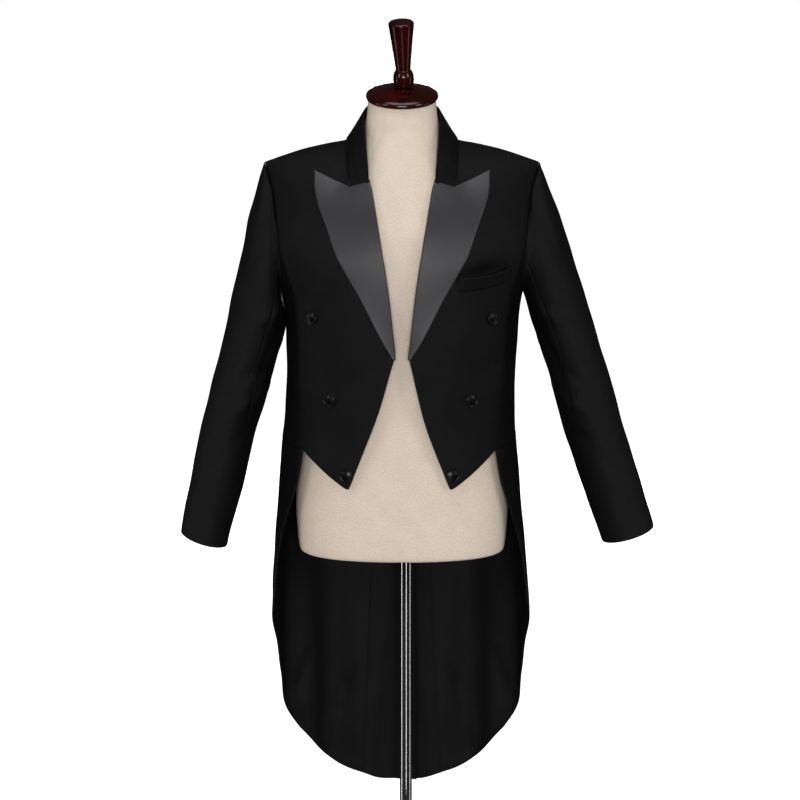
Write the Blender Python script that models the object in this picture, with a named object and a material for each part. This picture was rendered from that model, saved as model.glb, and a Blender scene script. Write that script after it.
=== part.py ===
"""White tie tailcoat on a limbless dress form.

Metres, +Z up, the front of the coat faces -Y. The origin is the centre of the
base's underside, on the pole's axis. Left and right are the wearer's: the left
side of the coat lies at +X.

The coat's outer face is one smooth shell. A place on it is a Spot: the turn
round the body, 0 at the centre front and 180 at the centre back, and the
height. Each panel is a patch of that shell between its seams and edges, with the
cloth's wall behind it. What lies on a panel is made from the same shell, lifted.
"""
import math
from collections import namedtuple

import bmesh
import bpy
from mathutils import Matrix, Vector
from mathutils.bvhtree import BVHTree

# Cloth
CLOTH_WALL = 0.0020
SATIN_WALL = 0.0016
SEAM_GAP = 0.0005
LAPEL_GAP = 0.0012
WELT_GAP = 0.0009
BUTTON_SEAT = 0.0004

# Where the coat's centre line stands beside the pole
CENTRE_X = -0.0066

# The shell: squareness of its sections, and the chest line above which the
# shell closes over the shoulders
SQUARENESS = 2.3
CHEST_HEIGHT = 1.250
SHOULDER_ROUNDNESS = 1.5
TIP_X = 0.222
NECK_X = 0.080
NECK_HEIGHT = 1.4310
RIDGE_ZONE = 0.0015

Section = namedtuple("Section", "height half_width front back")
SECTIONS = [
    Section(0.300, 0.2130, 0.118, 0.117),
    Section(0.420, 0.2135, 0.118, 0.121),
    Section(0.533, 0.2140, 0.118, 0.125),
    Section(0.652, 0.2135, 0.116, 0.128),
    Section(0.755, 0.2085, 0.115, 0.126),
    Section(0.831, 0.2020, 0.117, 0.120),
    Section(0.882, 0.1980, 0.118, 0.113),
    Section(0.932, 0.1935, 0.119, 0.104),
    Section(0.983, 0.1895, 0.121, 0.099),
    Section(1.033, 0.1880, 0.1245, 0.100),
    Section(1.083, 0.1895, 0.128, 0.106),
    Section(1.133, 0.1920, 0.1305, 0.114),
    Section(1.180, 0.1975, 0.131, 0.120),
    Section(1.215, 0.2100, 0.1305, 0.1215),
    Section(1.250, 0.2220, 0.130, 0.122),
]

# The ridge that the shell closes to: the neck cone and the shoulder seam
Ridge = namedtuple("Ridge", "x height depth")
RIDGE = [
    Ridge(0.000, 1.5120, 0.030),
    Ridge(0.030, 1.5000, 0.030),
    Ridge(0.060, 1.4640, 0.028),
    Ridge(NECK_X, NECK_HEIGHT, 0.024),
    Ridge(0.125, 1.4215, 0.018),
    Ridge(0.157, 1.4145, 0.012),
    Ridge(0.190, 1.4045, 0.007),
    Ridge(TIP_X, 1.3935, 0.004),
]

# How far the coat's centre line wanders aside, by height
Sway = namedtuple("Sway", "height shift")
SWAY = [
    Sway(0.310, 0.000),
    Sway(0.500, -0.001),
    Sway(0.650, -0.002),
    Sway(0.830, -0.004),
    Sway(0.933, -0.0045),
    Sway(1.033, -0.002),
    Sway(1.110, 0.000),
]

# Soft flutes of the tails
FLUTE_TOP = 0.860
FLUTE_FULL = 0.480
FLUTE_DEPTH = 0.0055
FLUTE_SPREAD = 31.0

# Vent: the right tail runs on under the left one
VENT_TOP = 0.962
VENT_FOOT = 0.311
UNDERLAP = 0.026
UNDERLAP_DROP = 0.0036
UNDERLAP_RAMP = 0.016
UNDERLAP_EASE = 0.038

Spot = namedtuple("Spot", "turn height")
SIDES = {"right": -1, "left": 1}


def read_rows(rows, column, at):
    """Value of a column at a place given in the first column, on a smooth curve with no overshoot."""
    keys = [row[0] for row in rows]
    values = [getattr(row, column) for row in rows]
    if at <= keys[0]:
        return values[0]
    if at >= keys[-1]:
        return values[-1]
    slopes = [(values[i + 1] - values[i]) / (keys[i + 1] - keys[i]) for i in range(len(keys) - 1)]
    tangents = [slopes[0]]
    for before, after in zip(slopes, slopes[1:]):
        level = 0.0 if before * after <= 0 else 2 * before * after / (before + after)
        tangents.append(level)
    tangents.append(slopes[-1])
    index = max(i for i in range(len(keys) - 1) if keys[i] <= at)
    width = keys[index + 1] - keys[index]
    t = (at - keys[index]) / width
    start = values[index] * (1 + 2 * t) * (1 - t) ** 2 + tangents[index] * width * t * (1 - t) ** 2
    end = values[index + 1] * t * t * (3 - 2 * t) + tangents[index + 1] * width * t * t * (t - 1)
    return start + end


def ease(low, high, at):
    """0 below low, 1 above high, smooth between."""
    t = min(1.0, max(0.0, (at - low) / (high - low)))
    return t * t * (3 - 2 * t)


def turn_at(x, height, rear=False):
    """Turn of the spot at a distance x from the centre line."""
    half_width = read_rows(SECTIONS, "half_width", min(height, CHEST_HEIGHT))
    turn = math.degrees(math.asin(min(1.0, x / half_width) ** (SQUARENESS / 2)))
    return 180.0 - turn if rear else turn


def front(x, height):
    return Spot(turn_at(x, height), height)


def rear(x, height):
    return Spot(turn_at(x, height, rear=True), height)


def past_centre(x, height):
    """Spot at the back, a distance past the centre line on the other side."""
    return Spot(180.0 + turn_at(x, height), height)


def closing(drop):
    """How far the shell has come forward from the ridge when it has dropped by this share."""
    return (1 - (1 - drop) ** SHOULDER_ROUNDNESS) ** (1 / SHOULDER_ROUNDNESS)


def flute(turn, height):
    """Outward swell of the tails' soft folds."""
    full = 1 - ease(FLUTE_FULL, FLUTE_TOP, height)
    back_share = ease(70.0, 105.0, turn)
    return FLUTE_DEPTH * full * back_share * math.cos(math.radians((180.0 - turn) * 360.0 / FLUTE_SPREAD))


def shell(turn, height):
    """Point of the coat's outer face on the left side, before it is placed."""
    level = min(height, CHEST_HEIGHT)
    angle = math.radians(turn)
    across = math.copysign(abs(math.sin(angle)) ** (2 / SQUARENESS), math.sin(angle))
    along = abs(math.cos(angle)) ** (2 / SQUARENESS)
    swell = flute(turn, height)
    x = (read_rows(SECTIONS, "half_width", level) + swell) * across
    if turn < 90:
        y = -read_rows(SECTIONS, "front", level) * along
    else:
        y = (read_rows(SECTIONS, "back", level) + swell) * along
    if height > CHEST_HEIGHT:
        top = read_rows(RIDGE, "height", abs(x))
        ridge_y = read_rows(RIDGE, "depth", abs(x))
        drop = min(1.0, max(0.0, (top - height) / (top - CHEST_HEIGHT)))
        y = ridge_y + (y - ridge_y) * closing(drop)
    return Vector((x, y, height))


def outward(spot):
    """Unit normal of the shell at a spot. On the ridge it is the one that front and back share."""
    turn_step = 1.5
    height_step = 0.004
    across = shell(spot.turn + turn_step, spot.height) - shell(spot.turn - turn_step, spot.height)
    upward = shell(spot.turn, spot.height + height_step) - shell(spot.turn, spot.height - height_step)
    normal = across.cross(upward).normalized()
    x = abs(shell(spot.turn, spot.height).x)
    if spot.height > read_rows(RIDGE, "height", x) - RIDGE_ZONE:
        slope = read_rows(RIDGE, "height", x + 0.004) - read_rows(RIDGE, "height", x - 0.004)
        normal = Vector((-slope / 0.008, 0.0, 1.0)).normalized()
    return normal


def placed(point, side):
    """Mirror a point to its side and stand it on the coat's centre line."""
    shift = read_rows(SWAY, "shift", point.z)
    return Vector((point.x * side + CENTRE_X + shift, point.y, point.z))


def lifted(spot, lift):
    point = shell(spot.turn, spot.height)
    return point + outward(spot) * lift if lift else point


def smooth_line(spots, count, crowding=1.0):
    """A smooth line through spots, as count + 1 spots. Crowding over 1 sets them closer at its start."""
    metres_per_degree = 0.003
    if len(spots) == 2:
        return [Spot(spots[0].turn + (spots[1].turn - spots[0].turn) * (k / count) ** crowding,
                     spots[0].height + (spots[1].height - spots[0].height) * (k / count) ** crowding)
                for k in range(count + 1)]
    plane = [Vector((spot.turn * metres_per_degree, spot.height)) for spot in spots]
    padded = [plane[0] * 2 - plane[1]] + plane + [plane[-1] * 2 - plane[-2]]
    fine = []
    steps = 16
    for a, b, c, d in zip(padded, padded[1:], padded[2:], padded[3:]):
        for k in range(steps):
            t = k / steps
            fine.append(0.5 * (2 * b + (c - a) * t + (2 * a - 5 * b + 4 * c - d) * t * t
                               + (3 * b - a - 3 * c + d) * t ** 3))
    fine.append(plane[-1])
    reach = [0.0]
    for a, b in zip(fine, fine[1:]):
        reach.append(reach[-1] + (b - a).length)
    line = []
    index = 0
    for k in range(count + 1):
        goal = reach[-1] * (k / count) ** crowding
        while index < len(fine) - 2 and reach[index + 1] < goal:
            index += 1
        span = reach[index + 1] - reach[index]
        share = (goal - reach[index]) / span if span else 0.0
        spot = fine[index].lerp(fine[index + 1], min(1.0, share))
        line.append(Spot(spot.x / metres_per_degree, spot.y))
    return line


def joined(*lines):
    """Lines that follow each other, as one."""
    whole = list(lines[0])
    for line in lines[1:]:
        whole += line[1:]
    return whole


def shares(line, column):
    """How far along its whole span each spot of an edge lies."""
    values = [getattr(spot, column) for spot in line]
    span = values[-1] - values[0]
    return [(value - values[0]) / span for value in values]


def patch(top, bottom, inner, outer):
    """Rows of spots that fill the four edges of a panel."""
    top_share, bottom_share = shares(top, "turn"), shares(bottom, "turn")
    inner_share, outer_share = shares(inner, "height"), shares(outer, "height")
    grid = []
    for j in range(len(inner)):
        v = j / (len(inner) - 1)
        row = []
        for i in range(len(top)):
            u = i / (len(top) - 1)
            across = top_share[i] * (1 - v) + bottom_share[i] * v
            down = inner_share[j] * (1 - u) + outer_share[j] * u
            row.append(Spot(inner[j].turn + (outer[j].turn - inner[j].turn) * across,
                            top[i].height + (bottom[i].height - top[i].height) * down))
        grid.append(row)
    return grid


def draw_back(rows, gap):
    """How far each point of a grid moves in from its four edges for a seam's share of the gap."""
    last_row = len(rows) - 1
    last_column = len(rows[0]) - 1
    moves = []
    for j, row in enumerate(rows):
        line = []
        for i, point in enumerate(row):
            move = Vector()
            for near, edge in (((j, i + 1), i == 0), ((j, i - 1), i == last_column),
                               ((j + 1, i), j == 0), ((j - 1, i), j == last_row)):
                if edge:
                    inward = rows[near[0]][near[1]] - point
                    if inward.length > 1e-6:
                        move += inward.normalized() * gap
            line.append(move)
        moves.append(line)
    return moves


# Materials: colour, roughness, metallic
Finish = namedtuple("Finish", "name colour roughness metallic")
FINISHES = {
    "wool": Finish("wool", (0.008, 0.008, 0.009, 1), 0.85, 0.0),
    "satin": Finish("satin", (0.040, 0.040, 0.047, 1), 0.38, 0.0),
    "linen": Finish("linen", (0.780, 0.700, 0.590, 1), 0.80, 0.0),
    "lacquer": Finish("lacquer", (0.110, 0.012, 0.009, 1), 0.15, 0.0),
    "steel": Finish("steel", (0.300, 0.300, 0.310, 1), 0.22, 1.0),
    "base_enamel": Finish("base_enamel", (0.030, 0.030, 0.032, 1), 0.45, 0.2),
}


def finish_material(key):
    finish = FINISHES[key]
    material = bpy.data.materials.get(finish.name)
    if material is None:
        material = bpy.data.materials.new(finish.name)
        material.use_nodes = True
        shader = material.node_tree.nodes["Principled BSDF"]
        shader.inputs["Base Color"].default_value = finish.colour
        shader.inputs["Roughness"].default_value = finish.roughness
        shader.inputs["Metallic"].default_value = finish.metallic
    return material


def add_object(name, mesh_maker, finish):
    mesh = bpy.data.meshes.new(name)
    mesh_maker.to_mesh(mesh)
    mesh_maker.free()
    mesh.shade_smooth()
    mesh.set_sharp_from_angle(angle=math.radians(40))
    mesh.materials.append(finish_material(finish))
    thing = bpy.data.objects.new(name, mesh)
    bpy.context.scene.collection.objects.link(thing)
    return thing


def cloth(name, outer_rows, inner_rows, finish):
    """A wall of cloth between the rows of points of its two faces."""
    columns = len(outer_rows[0]) - 1
    count = len(outer_rows) - 1
    maker = bmesh.new()
    for rows in (outer_rows, inner_rows):
        face = bmesh.ops.create_grid(maker, x_segments=columns, y_segments=count, size=0.5)
        for vert in face["verts"]:
            i = round((vert.co.x + 0.5) * columns)
            j = round((0.5 - vert.co.y) * count)
            vert.co = rows[j][i]
    rim = [edge for edge in maker.edges if edge.is_boundary]
    bmesh.ops.bridge_loops(maker, edges=rim)
    bmesh.ops.recalc_face_normals(maker, faces=maker.faces[:])
    if maker.calc_volume(signed=True) < 0:
        bmesh.ops.reverse_faces(maker, faces=maker.faces[:])
    return add_object(name, maker, finish)


def moved(rows, moves):
    return [[point + move for point, move in zip(row, line)] for row, line in zip(rows, moves)]


def panel(name, side_name, top, bottom, inner, outer, drop=None):
    """A body panel between its four edges, with its seams' gaps."""
    side = SIDES[side_name]
    outer_rows, inner_rows = [], []
    for row in patch(top, bottom, inner, outer):
        drops = [drop(spot) if drop else 0.0 for spot in row]
        outer_rows.append([placed(lifted(spot, -d), side) for spot, d in zip(row, drops)])
        inner_rows.append([placed(lifted(spot, -d - CLOTH_WALL), side) for spot, d in zip(row, drops)])
    moves = draw_back(outer_rows, SEAM_GAP / 2)
    return cloth(f"{name}_{side_name}", moved(outer_rows, moves), moved(inner_rows, moves), "wool")


def facing(spot, side):
    """The shell's outward normal on a side of the coat."""
    normal = outward(spot)
    return Vector((normal.x * side, normal.y, normal.z))


def surface_of(thing):
    """A panel's faces, for what is laid on it."""
    mesh = thing.data
    return BVHTree.FromPolygons([vert.co.copy() for vert in mesh.vertices],
                                [tuple(face.vertices) for face in mesh.polygons])


def on_panel(surface, point, normal, lift):
    """The point of a panel under or over a place, moved out by a lift."""
    reach = 0.02
    hit = surface.ray_cast(point + normal * reach, -normal, 2 * reach)[0]
    proud = (hit - point).dot(normal) if hit is not None else 0.0
    return point + normal * (max(0.0, proud) + lift)


# Seams and edges, shared by the panels that meet there
NECK_POINT = front(NECK_X, NECK_HEIGHT)
NECK_POINT_BACK = rear(NECK_X, NECK_HEIGHT)
NECK_BACK_HEIGHT = 1.440
SHOULDER_TIP = Spot(90.0, 1.3935)
GORGE_X = 0.052
GORGE_HEIGHT = 1.368
GORGE = front(GORGE_X, GORGE_HEIGHT)
ROLL_BENDS = [front(0.0460, 1.343), front(0.0300, 1.247), front(0.0170, 1.151)]
ROLL_END = front(0.0105, 1.087)
FRONT_POINT = front(0.0820, 0.872)
HEM_JOINT = front(0.1575, 0.932)
ARM_FOOT = Spot(92.0, 1.1805)
BACK_PITCH = Spot(116.5, 1.275)
SIDE_FOOT = Spot(100.0, 0.940)
BACK_FOOT = rear(0.040, 0.962)
TAIL_CORNER = rear(0.176, 0.417)
HEM_SEAM = rear(0.070, 0.3265)

SHOULDER_COLUMNS = 6
NECK_COLUMNS_FRONT = 4
NECK_COLUMNS_BACK = 3
ARMHOLE_ROWS = 8
SIDE_ROWS = 8
PITCH_ROWS = 5
SIDE_BODY_COLUMNS = 6
WAIST_FRONT_COLUMNS = 3
TAIL_ROWS = 14
SHOULDER_CROWDING = 1.45


def shoulder_line(is_rear):
    spots = []
    for k in range(SHOULDER_COLUMNS + 1):
        x = NECK_X + (TIP_X - NECK_X) * k / SHOULDER_COLUMNS
        spots.append(Spot(turn_at(x, CHEST_HEIGHT, is_rear), read_rows(RIDGE, "height", x)))
    return spots


def neck_line(is_rear, count):
    """The neck's edge, from the gorge or the centre back to the shoulder seam."""
    if is_rear:
        return smooth_line([Spot(180.0, NECK_BACK_HEIGHT), rear(0.045, 1.4375), NECK_POINT_BACK], count)
    return smooth_line([GORGE, front(0.064, 1.400), NECK_POINT], count)


def roll_line(count):
    """The crease where the lapel turns back, from the gorge to its foot."""
    return smooth_line([GORGE] + ROLL_BENDS + [ROLL_END], count, 1.2)


ARMHOLE_FRONT = smooth_line([SHOULDER_TIP, Spot(71.0, 1.357), Spot(65.0, 1.300), Spot(62.3, 1.252),
                             Spot(65.5, 1.222), Spot(72.0, 1.200), Spot(80.0, 1.187), ARM_FOOT], ARMHOLE_ROWS,
                            SHOULDER_CROWDING)
ARMHOLE_UNDER = smooth_line([ARM_FOOT, Spot(100.0, 1.186), Spot(108.0, 1.205), Spot(114.5, 1.235),
                             BACK_PITCH], SIDE_BODY_COLUMNS)
ARMHOLE_BACK = smooth_line([SHOULDER_TIP, Spot(108.0, 1.365), Spot(114.0, 1.325), BACK_PITCH], PITCH_ROWS,
                           SHOULDER_CROWDING)
SIDE_SEAM = smooth_line([ARM_FOOT, Spot(95.0, 1.060), SIDE_FOOT], SIDE_ROWS)
BACK_SEAM = smooth_line([BACK_PITCH, rear(0.150, 1.205), rear(0.098, 1.130), rear(0.057, 1.040), BACK_FOOT],
                        SIDE_ROWS)
WAIST_BACK = smooth_line([SIDE_FOOT, Spot(135.0, 0.951), BACK_FOOT], SIDE_BODY_COLUMNS)
WAIST_FRONT = smooth_line([HEM_JOINT, Spot(75.0, 0.936), SIDE_FOOT], WAIST_FRONT_COLUMNS)
TAIL_SEAM = smooth_line([BACK_FOOT, rear(0.046, 0.850), rear(0.058, 0.600), HEM_SEAM], TAIL_ROWS)
TAIL_EDGE = smooth_line([HEM_JOINT, front(0.1660, 0.882), front(0.1755, 0.849), front(0.1890, 0.806),
                         front(0.2060, 0.729), Spot(84.0, 0.660), rear(0.2125, 0.592), rear(0.2098, 0.533),
                         rear(0.1985, 0.475), TAIL_CORNER], TAIL_ROWS)
SKIRT_COLUMNS = SIDE_BODY_COLUMNS + WAIST_FRONT_COLUMNS
TAIL_HEM = smooth_line([HEM_SEAM, rear(0.0990, 0.338), rear(0.1265, 0.358), rear(0.1555, 0.388), TAIL_CORNER],
                       SKIRT_COLUMNS)


def forepart(side_name):
    top = joined(neck_line(False, NECK_COLUMNS_FRONT), shoulder_line(False))
    outer = joined(ARMHOLE_FRONT, SIDE_SEAM)
    cut_rows = 6
    inner = joined(roll_line(len(outer) - 1 - cut_rows),
                   smooth_line([ROLL_END, front(0.0380, 0.988), front(0.0740, 0.892), FRONT_POINT], cut_rows))
    hem_columns = len(top) - 1 - WAIST_FRONT_COLUMNS
    hem = smooth_line([FRONT_POINT, front(0.0880, 0.873), front(0.1060, 0.8855), front(0.1330, 0.908), HEM_JOINT],
                      hem_columns)
    return panel("forepart", side_name, top, joined(hem, WAIST_FRONT), inner, outer)


def side_body(side_name):
    return panel("side_body", side_name, ARMHOLE_UNDER, WAIST_BACK, SIDE_SEAM, BACK_SEAM)


def back(side_name):
    is_under = side_name == "right"
    vent_line = smooth_line([Spot(180.0, VENT_TOP), Spot(180.0, VENT_FOOT)], TAIL_ROWS)
    if is_under:
        vent_line = [rear(0.0, VENT_TOP)] + [past_centre(UNDERLAP, spot.height) for spot in vent_line[1:]]

    def drop(spot):
        x = shell(spot.turn, spot.height).x
        below = 1 - ease(VENT_TOP, VENT_TOP + UNDERLAP_EASE, spot.height)
        return UNDERLAP_DROP * below * ease(-UNDERLAP_RAMP, -0.001, -x) if is_under else 0.0

    outer = joined(ARMHOLE_BACK, BACK_SEAM, TAIL_SEAM)
    top = joined(neck_line(True, NECK_COLUMNS_BACK), shoulder_line(True))
    inner = joined(smooth_line([top[0], Spot(180.0, VENT_TOP)], len(outer) - 1 - TAIL_ROWS, 1.2),
                   vent_line)
    hem = smooth_line([vent_line[-1], rear(0.035, 0.3135), HEM_SEAM], len(top) - 1)
    return panel("back", side_name, top, hem, inner, outer, drop)


def skirt(side_name):
    top = joined(WAIST_BACK[::-1], WAIST_FRONT[::-1])
    return panel("skirt", side_name, top, TAIL_HEM, TAIL_SEAM, TAIL_EDGE)


# Lapels
LAPEL_ROWS = 15
LAPEL_GORGE_COLUMNS = 2
LAPEL_PEAK_COLUMNS = 3
LAPEL_GORGE = front(0.0525, 1.3665)
LAPEL_FOOT = front(0.0150, 1.0885)
NOTCH = front(0.0830, 1.3575)
PEAK = front(0.1415, 1.3825)
ROLL_RISE = 0.0042


def lapel(side_name, forepart_surface):
    """A peaked lapel, laid on its forepart and rising to a soft roll at the crease."""
    columns = LAPEL_GORGE_COLUMNS + LAPEL_PEAK_COLUMNS
    top = joined(smooth_line([LAPEL_GORGE, NOTCH], LAPEL_GORGE_COLUMNS),
                 smooth_line([NOTCH, PEAK], LAPEL_PEAK_COLUMNS))
    belly = smooth_line([PEAK, front(0.1380, 1.344), front(0.1180, 1.290), front(0.0935, 1.231),
                         front(0.0417, 1.135), LAPEL_FOOT], LAPEL_ROWS)
    foot = smooth_line([ROLL_END, LAPEL_FOOT], columns)
    crease = smooth_line([LAPEL_GORGE] + ROLL_BENDS + [ROLL_END], LAPEL_ROWS)
    side = SIDES[side_name]

    def rise(i, j):
        return ROLL_RISE * math.sin(math.pi * (j / LAPEL_ROWS) ** 0.8) * (1 - i / columns) ** 2

    laid = laid_rows(patch(top, foot, crease, belly), side, forepart_surface, LAPEL_GAP, rise)
    return cloth(f"lapel_{side_name}", *laid, "satin")


def laid_rows(grid, side, surface, gap, rise):
    """Outer and inner rows of a strip of satin or cloth that lies on a panel."""
    outer_rows, inner_rows = [], []
    for j, row in enumerate(grid):
        outer_line, inner_line = [], []
        for i, spot in enumerate(row):
            normal = facing(spot, side)
            point = placed(shell(*spot), side)
            low = on_panel(surface, point, normal, gap + rise(i, j))
            inner_line.append(low)
            outer_line.append(low + normal * SATIN_WALL)
        outer_rows.append(outer_line)
        inner_rows.append(inner_line)
    return outer_rows, inner_rows


# Breast welt on the left forepart
WELT_HEIGHT = 0.024
WELT_GAPE = 0.0045


def breast_welt(forepart_surface):
    """A strip whose top edge stands off the forepart as the pocket's mouth."""
    columns = 8
    height_rows = 3
    top = smooth_line([front(0.0885, 1.2175), front(0.1350, 1.2215), front(0.1760, 1.2330)], columns)
    bottom = smooth_line([front(0.0895, 1.2175 - WELT_HEIGHT), front(0.1350, 1.2215 - WELT_HEIGHT),
                          front(0.1745, 1.2330 - WELT_HEIGHT)], columns)
    inner = smooth_line([top[0], bottom[0]], height_rows)
    outer = smooth_line([top[-1], bottom[-1]], height_rows)

    def gape(i, j):
        return WELT_GAPE * (1 - j / height_rows) ** 2 * math.sin(math.pi * i / columns)

    laid = laid_rows(patch(top, bottom, inner, outer), SIDES["left"], forepart_surface, WELT_GAP, gape)
    return cloth("breast_welt", *laid, "wool")


# Collar: its cut from the stand's foot, which follows the neck's edge, over the
# fold to the fall's edge, at stations from the gorge to the centre back
COLLAR_WALL = 0.0018
COLLAR_SEAT = 0.0007
COLLAR_END_RISE = 0.0040
FOLD_WIDTH = 0.0046
FOLD_DROP = 0.0030
Station = namedtuple("Station", "fold_x fold_y fold_z knee_x knee_y knee_z edge_x edge_y edge_z")
COLLAR = [
    Station(0.0535, -0.0875, 1.3765, 0.0690, -0.0835, 1.3690, 0.0845, -0.0765, 1.3615),
    Station(0.0560, -0.0630, 1.4080, 0.0740, -0.0605, 1.3970, 0.0895, -0.0535, 1.3860),
    Station(0.0590, -0.0310, 1.4420, 0.0770, -0.0290, 1.4270, 0.0915, -0.0220, 1.4120),
    Station(0.0605, 0.0160, 1.4705, 0.0765, 0.0190, 1.4510, 0.0900, 0.0190, 1.4325),
    Station(0.0520, 0.0480, 1.4820, 0.0665, 0.0590, 1.4560, 0.0760, 0.0660, 1.4220),
    Station(0.0290, 0.0660, 1.4870, 0.0375, 0.0785, 1.4590, 0.0430, 0.0880, 1.4270),
    Station(0.0000, 0.0710, 1.4880, 0.0000, 0.0845, 1.4600, 0.0000, 0.0940, 1.4290),
]
NECK_AXIS = Vector((0.0, 0.014, 0.0))


def collar_profile(station, neck_spot):
    """Points from the stand's foot over the fold and down to the fall's edge."""
    fold, knee, edge = (Vector(station[k:k + 3]) for k in (0, 3, 6))
    foot = lifted(neck_spot, COLLAR_SEAT)
    away = fold - NECK_AXIS
    away.z = 0.0
    away.normalize()
    inside = fold - away * FOLD_WIDTH * 0.15 - Vector((0.0, 0.0, FOLD_DROP))
    outside = fold + away * FOLD_WIDTH - Vector((0.0, 0.0, FOLD_DROP))
    crown = fold + away * FOLD_WIDTH * 0.45
    return [foot, foot.lerp(inside, 0.5), inside, crown, outside, outside.lerp(knee, 0.5), knee,
            knee.lerp(edge, 0.5), edge]


def collar():
    """One folded strip from the right gorge round the neck to the left gorge."""
    steps = 3
    halves = []
    gorge_end = front(GORGE_X + 0.0012, GORGE_HEIGHT + COLLAR_END_RISE)
    neck = joined([gorge_end] + neck_line(False, 3)[1:], neck_line(True, 3)[::-1])
    profiles = [collar_profile(station, spot) for station, spot in zip(COLLAR, neck)]
    for p in range(len(profiles) - 1):
        for k in range(steps if p < len(profiles) - 2 else steps + 1):
            t = k / steps
            ring = []
            for i in range(len(profiles[0])):
                a = profiles[max(0, p - 1)][i]
                b, c = profiles[p][i], profiles[p + 1][i]
                if p + 2 < len(profiles):
                    d = profiles[p + 2][i]
                else:
                    d = Vector((-b.x, b.y, b.z))
                ring.append(0.5 * (2 * b + (c - a) * t + (2 * a - 5 * b + 4 * c - d) * t * t
                                   + (3 * b - a - 3 * c + d) * t ** 3))
            halves.append(ring)
    right = [[placed(point, -1) for point in ring] for ring in halves]
    left = [[placed(point, 1) for point in ring] for ring in halves[-2::-1]]
    rings = right + left
    inner_rings = [wall_side(rings, k) for k in range(len(rings))]
    return cloth("collar", list(map(list, zip(*rings))), list(map(list, zip(*inner_rings))), "wool")


def wall_side(rings, index):
    """The other face of the strip at one ring, a wall's thickness inside the fold."""
    ring = rings[index]
    before, after = rings[max(0, index - 1)], rings[min(len(rings) - 1, index + 1)]
    points = []
    for i, point in enumerate(ring):
        down = ring[min(i + 1, len(ring) - 1)] - ring[max(0, i - 1)]
        around = after[i] - before[i]
        points.append(point - around.cross(down).normalized() * COLLAR_WALL)
    return points


# Sleeves: each row is a ring across the sleeve, from its outer to its inner side.
# join is how far the ring has left the armhole; the seams' turns go from the
# outer side, round the front and round the back.
SleeveRing = namedtuple("SleeveRing", "outer_x outer_z inner_x inner_z half_depth middle_y join front_seam hind_seam")
SLEEVES = {
    "right": [
        SleeveRing(0.2315, 1.3760, 0.1995, 1.1720, 0.0720, 0.002, 0.30, 128, 118),
        SleeveRing(0.2405, 1.3420, 0.2000, 1.1520, 0.0760, 0.002, 0.70, 124, 116),
        SleeveRing(0.2510, 1.3000, 0.1995, 1.1300, 0.0770, 0.002, 1.00, 120, 114),
        SleeveRing(0.2605, 1.2500, 0.1990, 1.1060, 0.0765, 0.002, 1.00, 117, 112),
        SleeveRing(0.2728, 1.2000, 0.2045, 1.0840, 0.0745, 0.001, 1.00, 115, 110),
        SleeveRing(0.2855, 1.1400, 0.2132, 1.0460, 0.0715, -0.002, 1.00, 116, 108),
        SleeveRing(0.2985, 1.0830, 0.2232, 1.0000, 0.0690, -0.006, 1.00, 122, 106),
        SleeveRing(0.3115, 1.0280, 0.2348, 0.9570, 0.0660, -0.012, 1.00, 132, 104),
        SleeveRing(0.3245, 0.9680, 0.2468, 0.9060, 0.0625, -0.018, 1.00, 148, 102),
        SleeveRing(0.3370, 0.9070, 0.2588, 0.8560, 0.0590, -0.026, 1.00, 162, 100),
        SleeveRing(0.3480, 0.8550, 0.2700, 0.8200, 0.0560, -0.033, 1.00, 170, 98),
        SleeveRing(0.3570, 0.8120, 0.2800, 0.7870, 0.0535, -0.039, 1.00, 172, 97),
        SleeveRing(0.3605, 0.7885, 0.2860, 0.7645, 0.0520, -0.042, 1.00, 172, 97),
    ],
    "left": [
        SleeveRing(0.2325, 1.3730, 0.2010, 1.1740, 0.0720, 0.002, 0.30, 128, 118),
        SleeveRing(0.2440, 1.3420, 0.2055, 1.1580, 0.0760, 0.002, 0.70, 124, 116),
        SleeveRing(0.2590, 1.3000, 0.2115, 1.1370, 0.0770, 0.002, 1.00, 120, 114),
        SleeveRing(0.2760, 1.2500, 0.2200, 1.1120, 0.0765, 0.002, 1.00, 117, 112),
        SleeveRing(0.2930, 1.1980, 0.2290, 1.0850, 0.0745, 0.001, 1.00, 115, 110),
        SleeveRing(0.3110, 1.1400, 0.2418, 1.0480, 0.0715, -0.002, 1.00, 116, 108),
        SleeveRing(0.3290, 1.0820, 0.2564, 1.0000, 0.0690, -0.006, 1.00, 122, 106),
        SleeveRing(0.3470, 1.0300, 0.2700, 0.9560, 0.0660, -0.012, 1.00, 132, 104),
        SleeveRing(0.3665, 0.9680, 0.2867, 0.9060, 0.0625, -0.018, 1.00, 148, 102),
        SleeveRing(0.3855, 0.9070, 0.3034, 0.8570, 0.0590, -0.026, 1.00, 162, 100),
        SleeveRing(0.4010, 0.8570, 0.3153, 0.8220, 0.0560, -0.033, 1.00, 170, 98),
        SleeveRing(0.4130, 0.8170, 0.3262, 0.7920, 0.0535, -0.039, 1.00, 172, 97),
        SleeveRing(0.4176, 0.7976, 0.3338, 0.7725, 0.0520, -0.042, 1.00, 172, 97),
    ],
}
TOP_SLEEVE_COLUMNS = 12
UNDER_SLEEVE_COLUMNS = 7
ARMHOLE_GAP = 0.0013


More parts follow.
